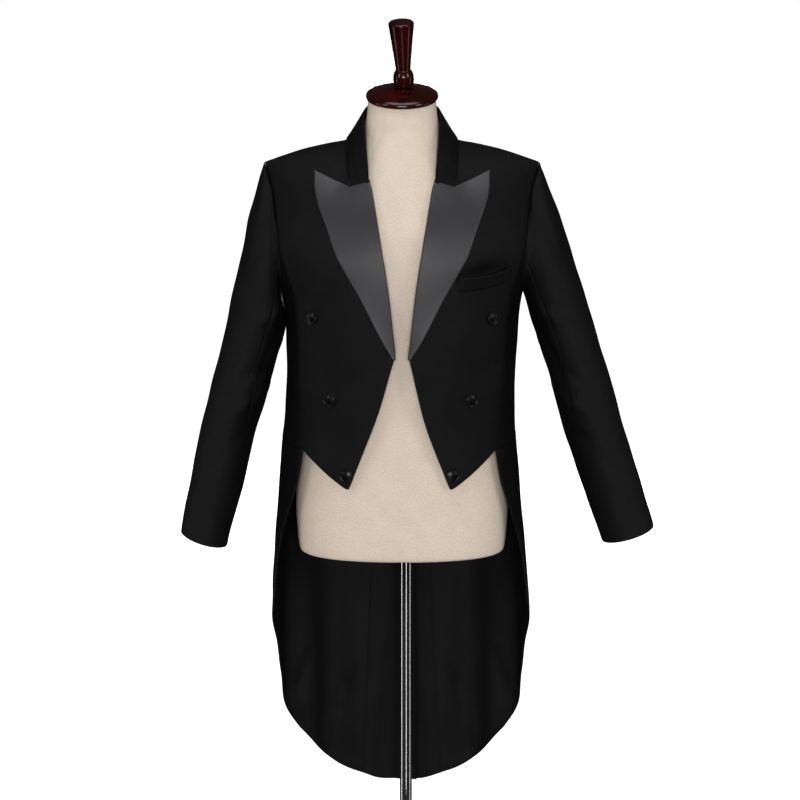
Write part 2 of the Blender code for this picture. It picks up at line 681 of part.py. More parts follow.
def armhole_point(turn):
    """Point of the armhole's edge, by the turn from the shoulder round the front, a gap clear of the panels."""
    if turn <= 180:
        line, share = ARMHOLE_FRONT, turn / 180
    else:
        line, share = joined(ARMHOLE_UNDER, ARMHOLE_BACK[::-1]), (turn - 180) / 180
    place = share * (len(line) - 1)
    index = min(int(place), len(line) - 2)
    a, b = line[index], line[index + 1]
    t = place - index
    spot = Spot(a.turn + (b.turn - a.turn) * t, a.height + (b.height - a.height) * t)
    start, end = shell(a.turn, a.height), shell(b.turn, b.height)
    point = start.lerp(end, t)
    along = (end - start).normalized()
    off_edge = along.cross(outward(spot)).normalized()
    return point - off_edge * ARMHOLE_GAP


def sleeve_point(ring, turn):
    """Point of a sleeve ring, by the turn from its outer side round the front."""
    angle = math.radians(turn)
    outer = Vector((ring.outer_x, ring.middle_y, ring.outer_z))
    inner = Vector((ring.inner_x, ring.middle_y, ring.inner_z))
    point = (outer + inner) / 2 + (outer - inner) / 2 * math.cos(angle)
    point.y -= ring.half_depth * math.sin(angle)
    return armhole_point(turn % 360).lerp(point, ring.join)


def sleeve(side_name):
    rings = [SLEEVES[side_name][0]._replace(join=0.0)] + SLEEVES[side_name]
    side = SIDES[side_name]
    for name, columns in (("top_sleeve", TOP_SLEEVE_COLUMNS), ("under_sleeve", UNDER_SLEEVE_COLUMNS)):
        outer_rows, inner_rows = [], []
        for k, ring in enumerate(rings):
            if name == "top_sleeve":
                start, end = -ring.hind_seam, ring.front_seam
            else:
                start, end = ring.front_seam, 360 - ring.hind_seam
            turns = [start + (end - start) * i / columns for i in range(columns + 1)]
            points = [sleeve_point(ring, turn) for turn in turns]
            outer_rows.append([placed(point, side) for point in points])
            inner_rows.append([placed(point - sleeve_normal(rings, k, turn) * CLOTH_WALL, side)
                               for point, turn in zip(points, turns)])
        moves = draw_back(outer_rows, SEAM_GAP / 2)
        cloth(f"{name}_{side_name}", moved(outer_rows, moves), moved(inner_rows, moves), "wool")


def sleeve_normal(rings, index, turn):
    """Outward normal of a sleeve at one ring and turn."""
    step = 4.0
    above, below = rings[max(0, index - 1)], rings[min(len(rings) - 1, index + 1)]
    along = sleeve_point(below, turn) - sleeve_point(above, turn)
    around = sleeve_point(rings[index], turn + step) - sleeve_point(rings[index], turn - step)
    return around.cross(along).normalized()


# Buttons
BUTTON_RADIUS = 0.0110
BUTTON_HEIGHT = 0.0045
BACK_BUTTON_RADIUS = 0.0105
FRONT_BUTTONS = [front(0.1455, 1.1490), front(0.1142, 1.0175), front(0.0860, 0.8950)]
BACK_BUTTON = rear(0.0270, 0.9780)


def button(name, spot, side, radius, surface):
    """A cloth-covered button, its flat underside just clear of its panel."""
    maker = bmesh.new()
    segments = 14
    profile = [(0.0, 0.0), (radius * 0.93, 0.0), (radius, 0.0012), (radius * 0.96, 0.0028),
               (radius * 0.70, BUTTON_HEIGHT - 0.0004), (0.0, BUTTON_HEIGHT)]
    turned_mesh(maker, profile, segments)
    normal = facing(spot, side)
    middle = placed(shell(*spot), side)
    turned = normal.to_track_quat("Z", "Y")
    rise = -1.0
    for radius_share in (0.0, 0.5, 1.0):
        for k in range(segments):
            angle = math.tau * k / segments
            arm = Vector((math.cos(angle), math.sin(angle), 0.0)) * radius * radius_share
            arm.rotate(turned)
            start = middle + arm + normal * BUTTON_HEIGHT
            hit = surface.ray_cast(start, -normal, 2 * BUTTON_HEIGHT)[0]
            if hit is not None:
                rise = max(rise, (hit - middle).dot(normal))
    thing = add_object(name, maker, "wool")
    thing.location = middle + normal * (rise + BUTTON_SEAT)
    thing.rotation_euler = turned.to_euler()
    return thing


def turned_mesh(maker, profile, segments):
    """Spin a profile of radii and heights, both ends on the axis, into a closed body."""
    verts = [maker.verts.new((radius, 0.0, height)) for radius, height in profile]
    edges = [maker.edges.new(pair) for pair in zip(verts, verts[1:])]
    bmesh.ops.spin(maker, geom=verts + edges, axis=(0, 0, 1), cent=(0, 0, 0), angle=math.tau,
                   steps=segments, use_merge=True)
    bmesh.ops.remove_doubles(maker, verts=maker.verts[:], dist=1e-6)
    bmesh.ops.dissolve_degenerate(maker, edges=maker.edges[:], dist=1e-7)
    bmesh.ops.recalc_face_normals(maker, faces=maker.faces[:])


# Dress form
FORM_SQUARENESS = 2.25
FORM_SEGMENTS = 28
FormRing = namedtuple("FormRing", "height half_width front back")
FORM_FOOT = 0.7485
FORM_BODY = [
    FormRing(FORM_FOOT, 0.1640, 0.100, 0.093),
    FormRing(0.7600, 0.1710, 0.105, 0.098),
    FormRing(0.8300, 0.1760, 0.108, 0.101),
    FormRing(0.9000, 0.1720, 0.106, 0.092),
    FormRing(0.9700, 0.1620, 0.102, 0.085),
    FormRing(1.0300, 0.1580, 0.101, 0.083),
    FormRing(1.0900, 0.1620, 0.106, 0.087),
    FormRing(1.1500, 0.1710, 0.112, 0.096),
    FormRing(1.2000, 0.1810, 0.1165, 0.104),
    FormRing(1.2500, 0.1880, 0.1185, 0.109),
]
# Over the shoulders a ring has no height of its own: it lies under the shell
ShoulderRing = namedtuple("ShoulderRing", "half_width front back middle_y")
FORM_SHOULDER = [
    ShoulderRing(0.1900, 0.1160, 0.1060, 0.000),
    ShoulderRing(0.1760, 0.1060, 0.0980, 0.002),
    ShoulderRing(0.1500, 0.0940, 0.0890, 0.004),
    ShoulderRing(0.1220, 0.0810, 0.0790, 0.006),
    ShoulderRing(0.0980, 0.0700, 0.0700, 0.009),
    ShoulderRing(0.0800, 0.0610, 0.0630, 0.012),
    ShoulderRing(0.0680, 0.0550, 0.0570, 0.013),
]
ARMPIT_RING = FormRing(1.2500, 0.1900, 0.118, 0.108)
ARMPIT_SHARES = (0.35, 0.72)
FORM_DROP = 0.0039
NECK_ROOT_DROP = 0.0050
NECK_ROOT_REACH = (0.085, 0.125)
FORM_SHRINK = 1.055
NECK_RADIUS = 0.0560
NECK_TOP = 1.4946
NECK_MIDDLE_Y = 0.014
NECK_TILT = math.radians(16.0)
NECK_FRONT = 0.93
NECK_BACK = 0.96
NECK_FLARE = ((0.45, 0.0590), (0.75, NECK_RADIUS))


def shell_height(x, y):
    """Height of the shell over a place in plan."""
    x = min(abs(x), TIP_X - 0.001)
    top = read_rows(RIDGE, "height", x)
    ridge_y = read_rows(RIDGE, "depth", x)
    reach = (1 - (x / TIP_X) ** SQUARENESS) ** (1 / SQUARENESS)
    chest_y = -SECTIONS[-1].front * reach if y < ridge_y else SECTIONS[-1].back * reach
    share = min(1.0, max(0.0, (y - ridge_y) / (chest_y - ridge_y)))
    drop = 1 - (1 - share ** SHOULDER_ROUNDNESS) ** (1 / SHOULDER_ROUNDNESS)
    return top - drop * (top - CHEST_HEIGHT)


def form_ring(half_width, front_depth, back_depth, middle_y, height):
    """A ring of points; height is a number or a function of x and y."""
    ring = []
    for k in range(FORM_SEGMENTS):
        angle = math.tau * k / FORM_SEGMENTS
        across, along = math.sin(angle), math.cos(angle)
        x = half_width * math.copysign(abs(across) ** (2 / FORM_SQUARENESS), across)
        depth = front_depth if along > 0 else back_depth
        y = middle_y - depth * math.copysign(abs(along) ** (2 / FORM_SQUARENESS), along)
        z = height(x, y) if callable(height) else height
        ring.append(Vector((x + CENTRE_X, y, z)))
    return ring


def under_shell(middle_y):
    """Height function of a ring that lies clear under the shell."""
    def height(x, y):
        spread_y = middle_y + (y - middle_y) * FORM_SHRINK
        root = NECK_ROOT_DROP * (1 - ease(*NECK_ROOT_REACH, abs(x)))
        return shell_height(x * FORM_SHRINK, spread_y) - FORM_DROP - root
    return height


def neck_top(_, y):
    """Height of the neck's tilted top."""
    return NECK_TOP + (y - NECK_MIDDLE_Y) * math.tan(NECK_TILT)


def dress_form():
    rings = [form_ring(row.half_width, row.front, row.back, 0.0, row.height) for row in FORM_BODY]
    first = FORM_SHOULDER[0]
    armpit = form_ring(ARMPIT_RING.half_width, ARMPIT_RING.front, ARMPIT_RING.back, 0.0, ARMPIT_RING.height)
    edge = form_ring(first.half_width, first.front, first.back, first.middle_y, under_shell(first.middle_y))
    for share in ARMPIT_SHARES:
        rings.append([a.lerp(b, share) for a, b in zip(armpit, edge)])
    for row in FORM_SHOULDER:
        rings.append(form_ring(row.half_width, row.front, row.back, row.middle_y, under_shell(row.middle_y)))
    foot_height = [point.z for point in rings[-1]]
    for share, radius in NECK_FLARE:
        ring = form_ring(radius, radius * NECK_FRONT, radius * NECK_BACK, NECK_MIDDLE_Y, neck_top)
        for point, low in zip(ring, foot_height):
            point.z = low + (point.z - low) * share
        rings.append(ring)
    rings.append(form_ring(NECK_RADIUS, NECK_RADIUS * NECK_FRONT, NECK_RADIUS * NECK_BACK, NECK_MIDDLE_Y, neck_top))
    return loft("dress_form", rings, "linen")


def loft(name, rings, finish):
    """A closed body through rings of equal counts, from the lowest up."""
    maker = bmesh.new()
    bmesh.ops.create_circle(maker, cap_ends=False, segments=len(rings[0]), radius=1.0)
    maker.verts.ensure_lookup_table()
    first_edges = edges = maker.edges[:]
    loop = ordered_loop(maker)
    for vert, point in zip(loop, rings[0]):
        vert.co = point
    for ring in rings[1:]:
        extruded = bmesh.ops.extrude_edge_only(maker, edges=edges)["geom"]
        new_edges = [item for item in extruded if isinstance(item, bmesh.types.BMEdge)
                     and len(item.link_faces) == 1]
        new_verts = {vert for edge in new_edges for vert in edge.verts}
        loop = [next(edge.other_vert(vert) for edge in vert.link_edges if edge.other_vert(vert) in new_verts)
                for vert in loop]
        for vert, point in zip(loop, ring):
            vert.co = point
        edges = new_edges
    bmesh.ops.contextual_create(maker, geom=first_edges)
    bmesh.ops.contextual_create(maker, geom=edges)
    bmesh.ops.recalc_face_normals(maker, faces=maker.faces[:])
    return add_object(name, maker, finish)


def ordered_loop(maker):
    """The verts of a lone circle, in order round it."""
    start = maker.verts[0]
    loop = [start]
    edge = start.link_edges[0]
    vert = edge.other_vert(start)
    while vert is not start:
        loop.append(vert)
        edge = next(other for other in vert.link_edges if other is not edge)
        vert = edge.other_vert(vert)
    return loop


# Neck cap and finial, turned about the neck's tilted axis
CAP_SEAT = 0.0004
FINIAL_SEAT = 0.0009
CAP_PROFILE = [(0.0, 0.0), (0.0570, 0.0), (0.0588, 0.0015), (0.0592, 0.0045), (0.0580, 0.0078), (0.0530, 0.0105),
               (0.0420, 0.0142), (0.0290, 0.0176), (0.0180, 0.0198), (0.0, 0.0198)]
FINIAL_PROFILE = [(0.0, 0.0), (0.0150, 0.0), (0.0164, 0.0040), (0.0171, 0.0110), (0.0166, 0.0190),
                  (0.0142, 0.0250), (0.0120, 0.0275), (0.0126, 0.0340), (0.0158, 0.0620), (0.0190, 0.0880),
                  (0.0207, 0.1020), (0.0208, 0.1055), (0.0190, 0.1075), (0.0, 0.1090)]
FINIAL_LEAN = math.radians(-2.5)
FINIAL_SHIFT = 0.0030


def on_neck(name, profile, segments, rise, lean=0.0, shift=0.0):
    """A turned piece standing on the neck's tilted top."""
    maker = bmesh.new()
    turned_mesh(maker, profile, segments)
    thing = add_object(name, maker, "lacquer")
    tilt = Matrix.Rotation(NECK_TILT, 4, "X") @ Matrix.Rotation(lean, 4, "Y")
    along = Matrix.Rotation(NECK_TILT, 4, "X") @ Vector((shift, 0.0, rise))
    thing.location = Vector((CENTRE_X, NECK_MIDDLE_Y, NECK_TOP)) + along
    thing.rotation_euler = tilt.to_euler()
    return thing


# Stand
POLE_RADIUS = 0.0102
POLE_SEAT = 0.0003
BASE_RADIUS = 0.180
BASE_PROFILE = [(0.0, 0.0), (0.178, 0.0), (BASE_RADIUS, 0.002), (BASE_RADIUS, 0.008), (0.176, 0.0105),
                (0.120, 0.0135), (0.040, 0.0160), (0.024, 0.0200), (0.020, 0.0280), (0.019, 0.0500),
                (0.0175, 0.0520), (0.0, 0.0520)]


def stand():
    maker = bmesh.new()
    turned_mesh(maker, BASE_PROFILE, 32)
    add_object("base", maker, "base_enamel")
    foot = BASE_PROFILE[-1][1] + POLE_SEAT
    top = FORM_FOOT - POLE_SEAT
    maker = bmesh.new()
    turned_mesh(maker, [(0.0, foot), (POLE_RADIUS, foot), (POLE_RADIUS, top), (0.0, top)], 20)
    add_object("pole", maker, "steel")


def clear_scene():
    for thing in list(bpy.data.objects):
        bpy.data.objects.remove(thing, do_unlink=True)


def build():
    clear_scene()
    for side_name, side in SIDES.items():
        forepart_surface = surface_of(forepart(side_name))
        side_body(side_name)
        back_surface = surface_of(back(side_name))
        skirt(side_name)
        lapel(side_name, forepart_surface)
        sleeve(side_name)
        for row, spot in enumerate(FRONT_BUTTONS, start=1):
            button(f"front_button_{side_name}_{row}", spot, side, BUTTON_RADIUS, forepart_surface)
        button(f"back_button_{side_name}", BACK_BUTTON, side, BACK_BUTTON_RADIUS, back_surface)
        if side_name == "left":
            breast_welt(forepart_surface)
    collar()
    dress_form()
    on_neck("neck_cap", CAP_PROFILE, 28, CAP_SEAT)
    on_neck("finial", FINIAL_PROFILE, 20, CAP_SEAT + CAP_PROFILE[-1][1] + FINIAL_SEAT, FINIAL_LEAN,
            FINIAL_SHIFT)
    stand()


build()
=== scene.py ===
"""Looks of the white tie tailcoat and its dress form.

Metres, +Z up, the front of the coat faces -Y. Left and right are the wearer's.
The coat's cloth repeats the shell and the seams of its solids at a finer step:
a spot is a turn round the body, 0 at the centre front and 180 at the centre
back, and a height. Creases, pressed seams and turned edges move it in and out.
"""
import math
from collections import namedtuple

import bmesh
import bpy
import numpy as np
from mathutils import Matrix, Vector


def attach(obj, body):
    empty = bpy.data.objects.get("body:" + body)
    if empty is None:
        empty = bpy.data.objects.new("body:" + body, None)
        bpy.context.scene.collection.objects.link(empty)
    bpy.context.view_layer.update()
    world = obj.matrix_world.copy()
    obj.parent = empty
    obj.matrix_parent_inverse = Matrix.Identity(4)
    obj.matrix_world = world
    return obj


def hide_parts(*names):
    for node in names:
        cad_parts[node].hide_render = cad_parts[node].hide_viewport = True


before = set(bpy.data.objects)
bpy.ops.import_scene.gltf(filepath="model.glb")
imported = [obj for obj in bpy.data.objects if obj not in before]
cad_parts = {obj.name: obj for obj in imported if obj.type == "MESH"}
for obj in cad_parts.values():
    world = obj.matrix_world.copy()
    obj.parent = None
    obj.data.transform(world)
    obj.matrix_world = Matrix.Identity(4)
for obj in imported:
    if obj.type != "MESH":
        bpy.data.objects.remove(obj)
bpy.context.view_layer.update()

# Fineness: grid steps of the cloth for each step of its solid
FINE = 7

# Cloth
WOOL_WALL = 0.0020
SATIN_WALL = 0.0016
LAPEL_GAP = 0.0016
CENTRE_X = -0.0066

# The shell that the panels lie in
SQUARENESS = 2.3
CHEST_HEIGHT = 1.250
SHOULDER_ROUNDNESS = 1.5
TIP_X = 0.222
NECK_X = 0.080
NECK_HEIGHT = 1.4310
RIDGE_ZONE = 0.0015

Section = namedtuple("Section", "height half_width front back")
SECTIONS = [
    Section(0.300, 0.2130, 0.118, 0.117),
    Section(0.420, 0.2135, 0.118, 0.121),
    Section(0.533, 0.2140, 0.118, 0.125),
    Section(0.652, 0.2135, 0.116, 0.128),
    Section(0.755, 0.2085, 0.115, 0.126),
    Section(0.831, 0.2020, 0.117, 0.120),
    Section(0.882, 0.1980, 0.118, 0.113),
    Section(0.932, 0.1935, 0.119, 0.104),
    Section(0.983, 0.1895, 0.121, 0.099),
    Section(1.033, 0.1880, 0.1245, 0.100),
    Section(1.083, 0.1895, 0.128, 0.106),
    Section(1.133, 0.1920, 0.1305, 0.114),
    Section(1.180, 0.1975, 0.131, 0.120),
    Section(1.215, 0.2100, 0.1305, 0.1215),
    Section(1.250, 0.2220, 0.130, 0.122),
]
Ridge = namedtuple("Ridge", "x height depth")
RIDGE = [
    Ridge(0.000, 1.5120, 0.030),
    Ridge(0.030, 1.5000, 0.030),
    Ridge(0.060, 1.4640, 0.028),
    Ridge(NECK_X, NECK_HEIGHT, 0.024),
    Ridge(0.125, 1.4215, 0.018),
    Ridge(0.157, 1.4145, 0.012),
    Ridge(0.190, 1.4045, 0.007),
    Ridge(TIP_X, 1.3935, 0.004),
]
Sway = namedtuple("Sway", "height shift")
SWAY = [
    Sway(0.310, 0.000),
    Sway(0.500, -0.001),
    Sway(0.650, -0.002),
    Sway(0.830, -0.004),
    Sway(0.933, -0.0045),
    Sway(1.033, -0.002),
    Sway(1.110, 0.000),
]
FLUTE_TOP = 0.860
FLUTE_FULL = 0.480
FLUTE_DEPTH = 0.0055
FLUTE_SPREAD = 31.0
FLUTE_TURNS = (70.0, 105.0)
VENT_TOP = 0.962
VENT_FOOT = 0.311
UNDERLAP = 0.026
UNDERLAP_DROP = 0.0036
UNDERLAP_RAMP = 0.016
UNDERLAP_EASE = 0.038
SIDES = {"right": -1, "left": 1}


def curve_of(rows, column):
    """Function that reads a table's column by its first one, smooth and with no overshoot."""
    keys = np.array([row[0] for row in rows], dtype=float)
    values = np.array([getattr(row, column) for row in rows], dtype=float)
    slopes = np.diff(values) / np.diff(keys)
    tangents = np.zeros(len(keys))
    tangents[0], tangents[-1] = slopes[0], slopes[-1]
    product = slopes[:-1] * slopes[1:]
    same_way = product > 0
    tangents[1:-1][same_way] = 2 * product[same_way] / (slopes[:-1] + slopes[1:])[same_way]

    def read(at):
        at = np.clip(at, keys[0], keys[-1])
        index = np.clip(np.searchsorted(keys, at, side="right") - 1, 0, len(keys) - 2)
        width = keys[index + 1] - keys[index]
        t = (at - keys[index]) / width
        start = values[index] * (1 + 2 * t) + tangents[index] * width * t
        end = values[index + 1] * (3 - 2 * t) + tangents[index + 1] * width * (t - 1)
        start, end = start * (1 - t) ** 2, end * t * t
        return start + end

    return read


half_width_at = curve_of(SECTIONS, "half_width")
front_at = curve_of(SECTIONS, "front")
back_at = curve_of(SECTIONS, "back")
ridge_height_at = curve_of(RIDGE, "height")
ridge_depth_at = curve_of(RIDGE, "depth")
sway_at = curve_of(SWAY, "shift")


def ease(low, high, at):
    """0 below low, 1 above high, smooth between."""
    t = np.clip((at - low) / (high - low), 0.0, 1.0)
    return t * t * (3 - 2 * t)


def front(x, height):
    """Spot at a distance from the centre front line."""
    share = min(1.0, x / float(half_width_at(min(height, CHEST_HEIGHT))))
    return np.array([math.degrees(math.asin(share ** (SQUARENESS / 2))), height])


def rear(x, height):
    """Spot at a distance from the centre back line."""
    return np.array([180.0 - front(x, height)[0], height])


def spot(turn, height):
    return np.array([turn, height])


def flute(turn, height):
    """Outward swell of the tails' soft folds."""
    full = 1 - ease(FLUTE_FULL, FLUTE_TOP, height)
    back_share = ease(*FLUTE_TURNS, turn)
    return FLUTE_DEPTH * full * back_share * np.cos(np.radians((180.0 - turn) * 360.0 / FLUTE_SPREAD))


def sharp_shell(spots):
    """Points of the coat's outer face on the left side, as the solids have them."""
    turn, height = spots[..., 0], spots[..., 1]
    level = np.minimum(height, CHEST_HEIGHT)
    angle = np.radians(turn)
    across = np.sign(np.sin(angle)) * np.abs(np.sin(angle)) ** (2 / SQUARENESS)
    along = np.abs(np.cos(angle)) ** (2 / SQUARENESS)
    swell = flute(turn, height)
    x = (half_width_at(level) + swell) * across
    y = np.where(turn < 90, -front_at(level) * along, (back_at(level) + swell) * along)
    top, ridge_y = ridge_height_at(np.abs(x)), ridge_depth_at(np.abs(x))
    drop = np.clip((top - height) / (top - CHEST_HEIGHT), 0.0, 1.0)
    closing = (1 - (1 - drop) ** SHOULDER_ROUNDNESS) ** (1 / SHOULDER_ROUNDNESS)
    y = np.where(height > CHEST_HEIGHT, ridge_y + (y - ridge_y) * closing, y)
    return np.stack([x, y, height], axis=-1)


# The shell turns over its chest line, and from neck to shoulder, without a break
CHEST_SOFTENING = 0.032
CHEST_FROM = (1.150, 1.235)
CHEST_TO = (1.275, 1.360)
NECK_SOFTENING = 13.0
NECK_DROPS = (0.10, 0.55)
NECK_HEIGHTS = (1.200, 1.270)
SOFT_STEPS = 8


def shell(spots):
    """Points of the coat's outer face on the left side, soft where the chest turns to the shoulders."""
    turn, height = spots[..., 0], spots[..., 1]
    points = sharp_shell(spots)
    top = ridge_height_at(np.abs(points[..., 0]))
    drop = (top - height) / (top - CHEST_HEIGHT)
    up = CHEST_SOFTENING * ease(*CHEST_FROM, height) * (1 - ease(*CHEST_TO, height))
    around = NECK_SOFTENING * ease(*NECK_DROPS, drop) * ease(*NECK_HEIGHTS, height)
    change = 0.0
    for k in range(SOFT_STEPS):
        offset = 2 * (k + 0.5) / SOFT_STEPS - 1
        change = change + sharp_shell(np.stack([turn, height + up * offset], axis=-1))[..., 1]
        change = change + sharp_shell(np.stack([turn + around * offset, height], axis=-1))[..., 1]
    points[..., 1] = change / SOFT_STEPS - points[..., 1]
    return points


NORMAL_TURN = 1.5
NORMAL_STEP = 0.004


def outward(spots):
    """Unit normals of the shell. On the ridge it is the one that front and back share."""
    turn_step, height_step = np.array([NORMAL_TURN, 0.0]), np.array([0.0, NORMAL_STEP])
    across = shell(spots + turn_step) - shell(spots - turn_step)
    upward = shell(spots + height_step) - shell(spots - height_step)
    normal = unit(np.cross(across, upward))
    x = np.abs(shell(spots)[..., 0])
    slope = (ridge_height_at(x + NORMAL_STEP) - ridge_height_at(x - NORMAL_STEP)) / (2 * NORMAL_STEP)
    crest = unit(np.stack([-slope, np.zeros_like(slope), np.ones_like(slope)], axis=-1))
    nearness = ease(-8 * RIDGE_ZONE, -RIDGE_ZONE, spots[..., 1] - ridge_height_at(x))
    return unit(normal + (crest - normal) * nearness[..., None])


def unit(vectors):
    return vectors / np.maximum(np.linalg.norm(vectors, axis=-1, keepdims=True), 1e-12)


def placed(points, side):
    """Mirror points to their side and stand them on the coat's centre line."""
    shift = sway_at(points[..., 2])
    return np.stack([points[..., 0] * side + CENTRE_X + shift, points[..., 1], points[..., 2]], axis=-1)


def turned_to(vectors, side):
    return vectors * np.array([side, 1.0, 1.0])


def catmull(a, b, c, d, t):
    """Smooth step from b to c, with a before them and d after."""
    bend, twist = 2 * a - 5 * b + 4 * c - d, 3 * b - a - 3 * c + d
    return 0.5 * (2 * b + (c - a) * t + bend * t ** 2 + twist * t ** 3)


# A turn round the body of one degree is about 3 mm of cloth
METRES_PER_DEGREE = 0.003
LINE_STEPS = 40


def line(spots, count, crowding=1.0):
    """A smooth line of count x FINE + 1 spots. Crowding over 1 sets them closer at its start."""
    plane_scale = np.array([METRES_PER_DEGREE, 1.0])
    knots = [s * plane_scale for s in spots]
    knots = [knots[0] * 2 - knots[1]] + knots + [knots[-1] * 2 - knots[-2]]
    steps = np.linspace(0, 1, LINE_STEPS, endpoint=False)[:, None]
    fine = [catmull(a, b, c, d, steps) for a, b, c, d in zip(knots, knots[1:], knots[2:], knots[3:])]
    fine = np.concatenate(fine + [knots[-2][None, :]])
    reach = np.concatenate([[0.0], np.cumsum(np.linalg.norm(np.diff(fine, axis=0), axis=1))])
    goal = reach[-1] * np.linspace(0, 1, count * FINE + 1) ** crowding
    found = np.stack([np.interp(goal, reach, fine[:, k]) for k in range(2)], axis=-1)
    return found / plane_scale


def joined(*lines):
    """Lines that follow each other, as one."""
    return np.concatenate([lines[0]] + [following[1:] for following in lines[1:]])


def shares(edge, column):
    """How far along its whole span each spot of an edge lies."""
    return (edge[:, column] - edge[0, column]) / (edge[-1, column] - edge[0, column])


def patch(top, bottom, inner, outer):
    """Rows of spots that fill the four edges of a panel, closer together along its rim."""
    u, v = np.linspace(0, 1, len(top))[None, :], np.linspace(0, 1, len(inner))[:, None]
    across = shares(top, 0)[None, :] * (1 - v) + shares(bottom, 0)[None, :] * v
    down = shares(inner, 1)[:, None] * (1 - u) + shares(outer, 1)[:, None] * u
    turn = inner[:, 0][:, None] + (outer[:, 0] - inner[:, 0])[:, None] * across
    height = top[:, 1][None, :] + (bottom[:, 1] - top[:, 1])[None, :] * down
    return with_close_rim(np.stack([turn, height], axis=-1))


RIM_SHARES = (0.45, 0.30)


def with_close_rim(grid):
    """Add rows and columns just inside a grid's rim, for the roll of its edges."""
    for axis in (0, 1):
        grid = np.moveaxis(grid, axis, 0)
        for share in RIM_SHARES:
            head = grid[:1] + (grid[1:2] - grid[:1]) * share
            tail = grid[-1:] + (grid[-2:-1] - grid[-1:]) * share
            grid = np.concatenate([grid[:1], head, grid[1:-1], tail, grid[-1:]])
        grid = np.moveaxis(grid, 0, axis)
    return grid


# How far points of a grid lie from its four edges, in metres
Rim = namedtuple("Rim", "top bottom inner outer")


def rim_distances(points):
    across = np.linalg.norm(np.diff(points, axis=1), axis=-1)
    down = np.linalg.norm(np.diff(points, axis=0), axis=-1)
    from_inner = np.concatenate([np.zeros((points.shape[0], 1)), np.cumsum(across, axis=1)], axis=1)
    from_top = np.concatenate([np.zeros((1, points.shape[1])), np.cumsum(down, axis=0)], axis=0)
    return Rim(from_top, from_top[-1:] - from_top, from_inner, from_inner[:, -1:] - from_inner)


def on_shell(grid, side):
    """Points and normals of a grid of spots on its side of the coat, and its rim distances."""
    points = placed(shell(grid), side)
    return points, turned_to(outward(grid), side), rim_distances(points)


# Seams and edges, shared by the panels that meet there
NECK_POINT = front(NECK_X, NECK_HEIGHT)
NECK_POINT_BACK = rear(NECK_X, NECK_HEIGHT)
NECK_BACK_HEIGHT = 1.440
SHOULDER_TIP = spot(90.0, 1.3935)
GORGE = front(0.053, 1.368)
ROLL_BENDS = [front(0.0474, 1.343), front(0.0315, 1.247), front(0.0184, 1.151)]
ROLL_END = front(0.0115, 1.087)
FRONT_POINT = front(0.0820, 0.872)
HEM_JOINT = front(0.1575, 0.932)
ARM_FOOT = spot(92.0, 1.1805)
BACK_PITCH = spot(116.5, 1.275)
SIDE_FOOT = spot(100.0, 0.940)
BACK_FOOT = rear(0.040, 0.962)
TAIL_CORNER = rear(0.176, 0.417)
HEM_SEAM = rear(0.070, 0.3265)

SHOULDER_COLUMNS = 6
NECK_COLUMNS_FRONT = 4
NECK_COLUMNS_BACK = 3
ARMHOLE_ROWS = 8
SIDE_ROWS = 8
PITCH_ROWS = 5
SIDE_BODY_COLUMNS = 6
WAIST_FRONT_COLUMNS = 3
CUTAWAY_ROWS = 6
TAIL_ROWS = 14
SHOULDER_CROWDING = 1.45

ARMHOLE_FRONT = line([SHOULDER_TIP, spot(71.0, 1.357), spot(65.0, 1.300), spot(62.3, 1.252),
                      spot(65.5, 1.222), spot(72.0, 1.200), spot(80.0, 1.187), ARM_FOOT],
                     ARMHOLE_ROWS, SHOULDER_CROWDING)
ARMHOLE_UNDER = line([ARM_FOOT, spot(100.0, 1.186), spot(108.0, 1.205), spot(114.5, 1.235), BACK_PITCH],
                     SIDE_BODY_COLUMNS)
ARMHOLE_BACK = line([SHOULDER_TIP, spot(108.0, 1.365), spot(114.0, 1.325), BACK_PITCH], PITCH_ROWS,
                    SHOULDER_CROWDING)
SIDE_SEAM = line([ARM_FOOT, spot(95.0, 1.060), SIDE_FOOT], SIDE_ROWS)
BACK_SEAM = line([BACK_PITCH, rear(0.150, 1.205), rear(0.098, 1.130), rear(0.057, 1.040), BACK_FOOT],
                 SIDE_ROWS)
WAIST_BACK = line([SIDE_FOOT, spot(135.0, 0.951), BACK_FOOT], SIDE_BODY_COLUMNS)
WAIST_FRONT = line([HEM_JOINT, spot(75.0, 0.936), SIDE_FOOT], WAIST_FRONT_COLUMNS)
TAIL_SEAM = line([BACK_FOOT, rear(0.046, 0.850), rear(0.058, 0.600), HEM_SEAM], TAIL_ROWS)
TAIL_EDGE = line([HEM_JOINT, front(0.1660, 0.882), front(0.1755, 0.849), front(0.1890, 0.806),
                  front(0.2060, 0.729), spot(84.0, 0.660), rear(0.2125, 0.592), rear(0.2098, 0.533),
                  rear(0.1985, 0.475), TAIL_CORNER], TAIL_ROWS)
TAIL_HEM = line([HEM_SEAM, rear(0.0990, 0.338), rear(0.1265, 0.358), rear(0.1555, 0.388), TAIL_CORNER],
                SIDE_BODY_COLUMNS + WAIST_FRONT_COLUMNS)


def shoulder_line(is_rear):
    """The shoulder seam along the ridge, from the neck to the tip."""
    count = SHOULDER_COLUMNS * FINE
    spot_at = rear if is_rear else front
    across = [NECK_X + (TIP_X - NECK_X) * k / count for k in range(count + 1)]
    return np.array([[spot_at(x, CHEST_HEIGHT)[0], float(ridge_height_at(x))] for x in across])


def neck_line(is_rear, count):
    """The neck's edge, from the gorge or the centre back to the shoulder seam."""
    if is_rear:
        return line([spot(180.0, NECK_BACK_HEIGHT), rear(0.045, 1.4375), NECK_POINT_BACK], count)
    return line([GORGE, front(0.064, 1.400), NECK_POINT], count)


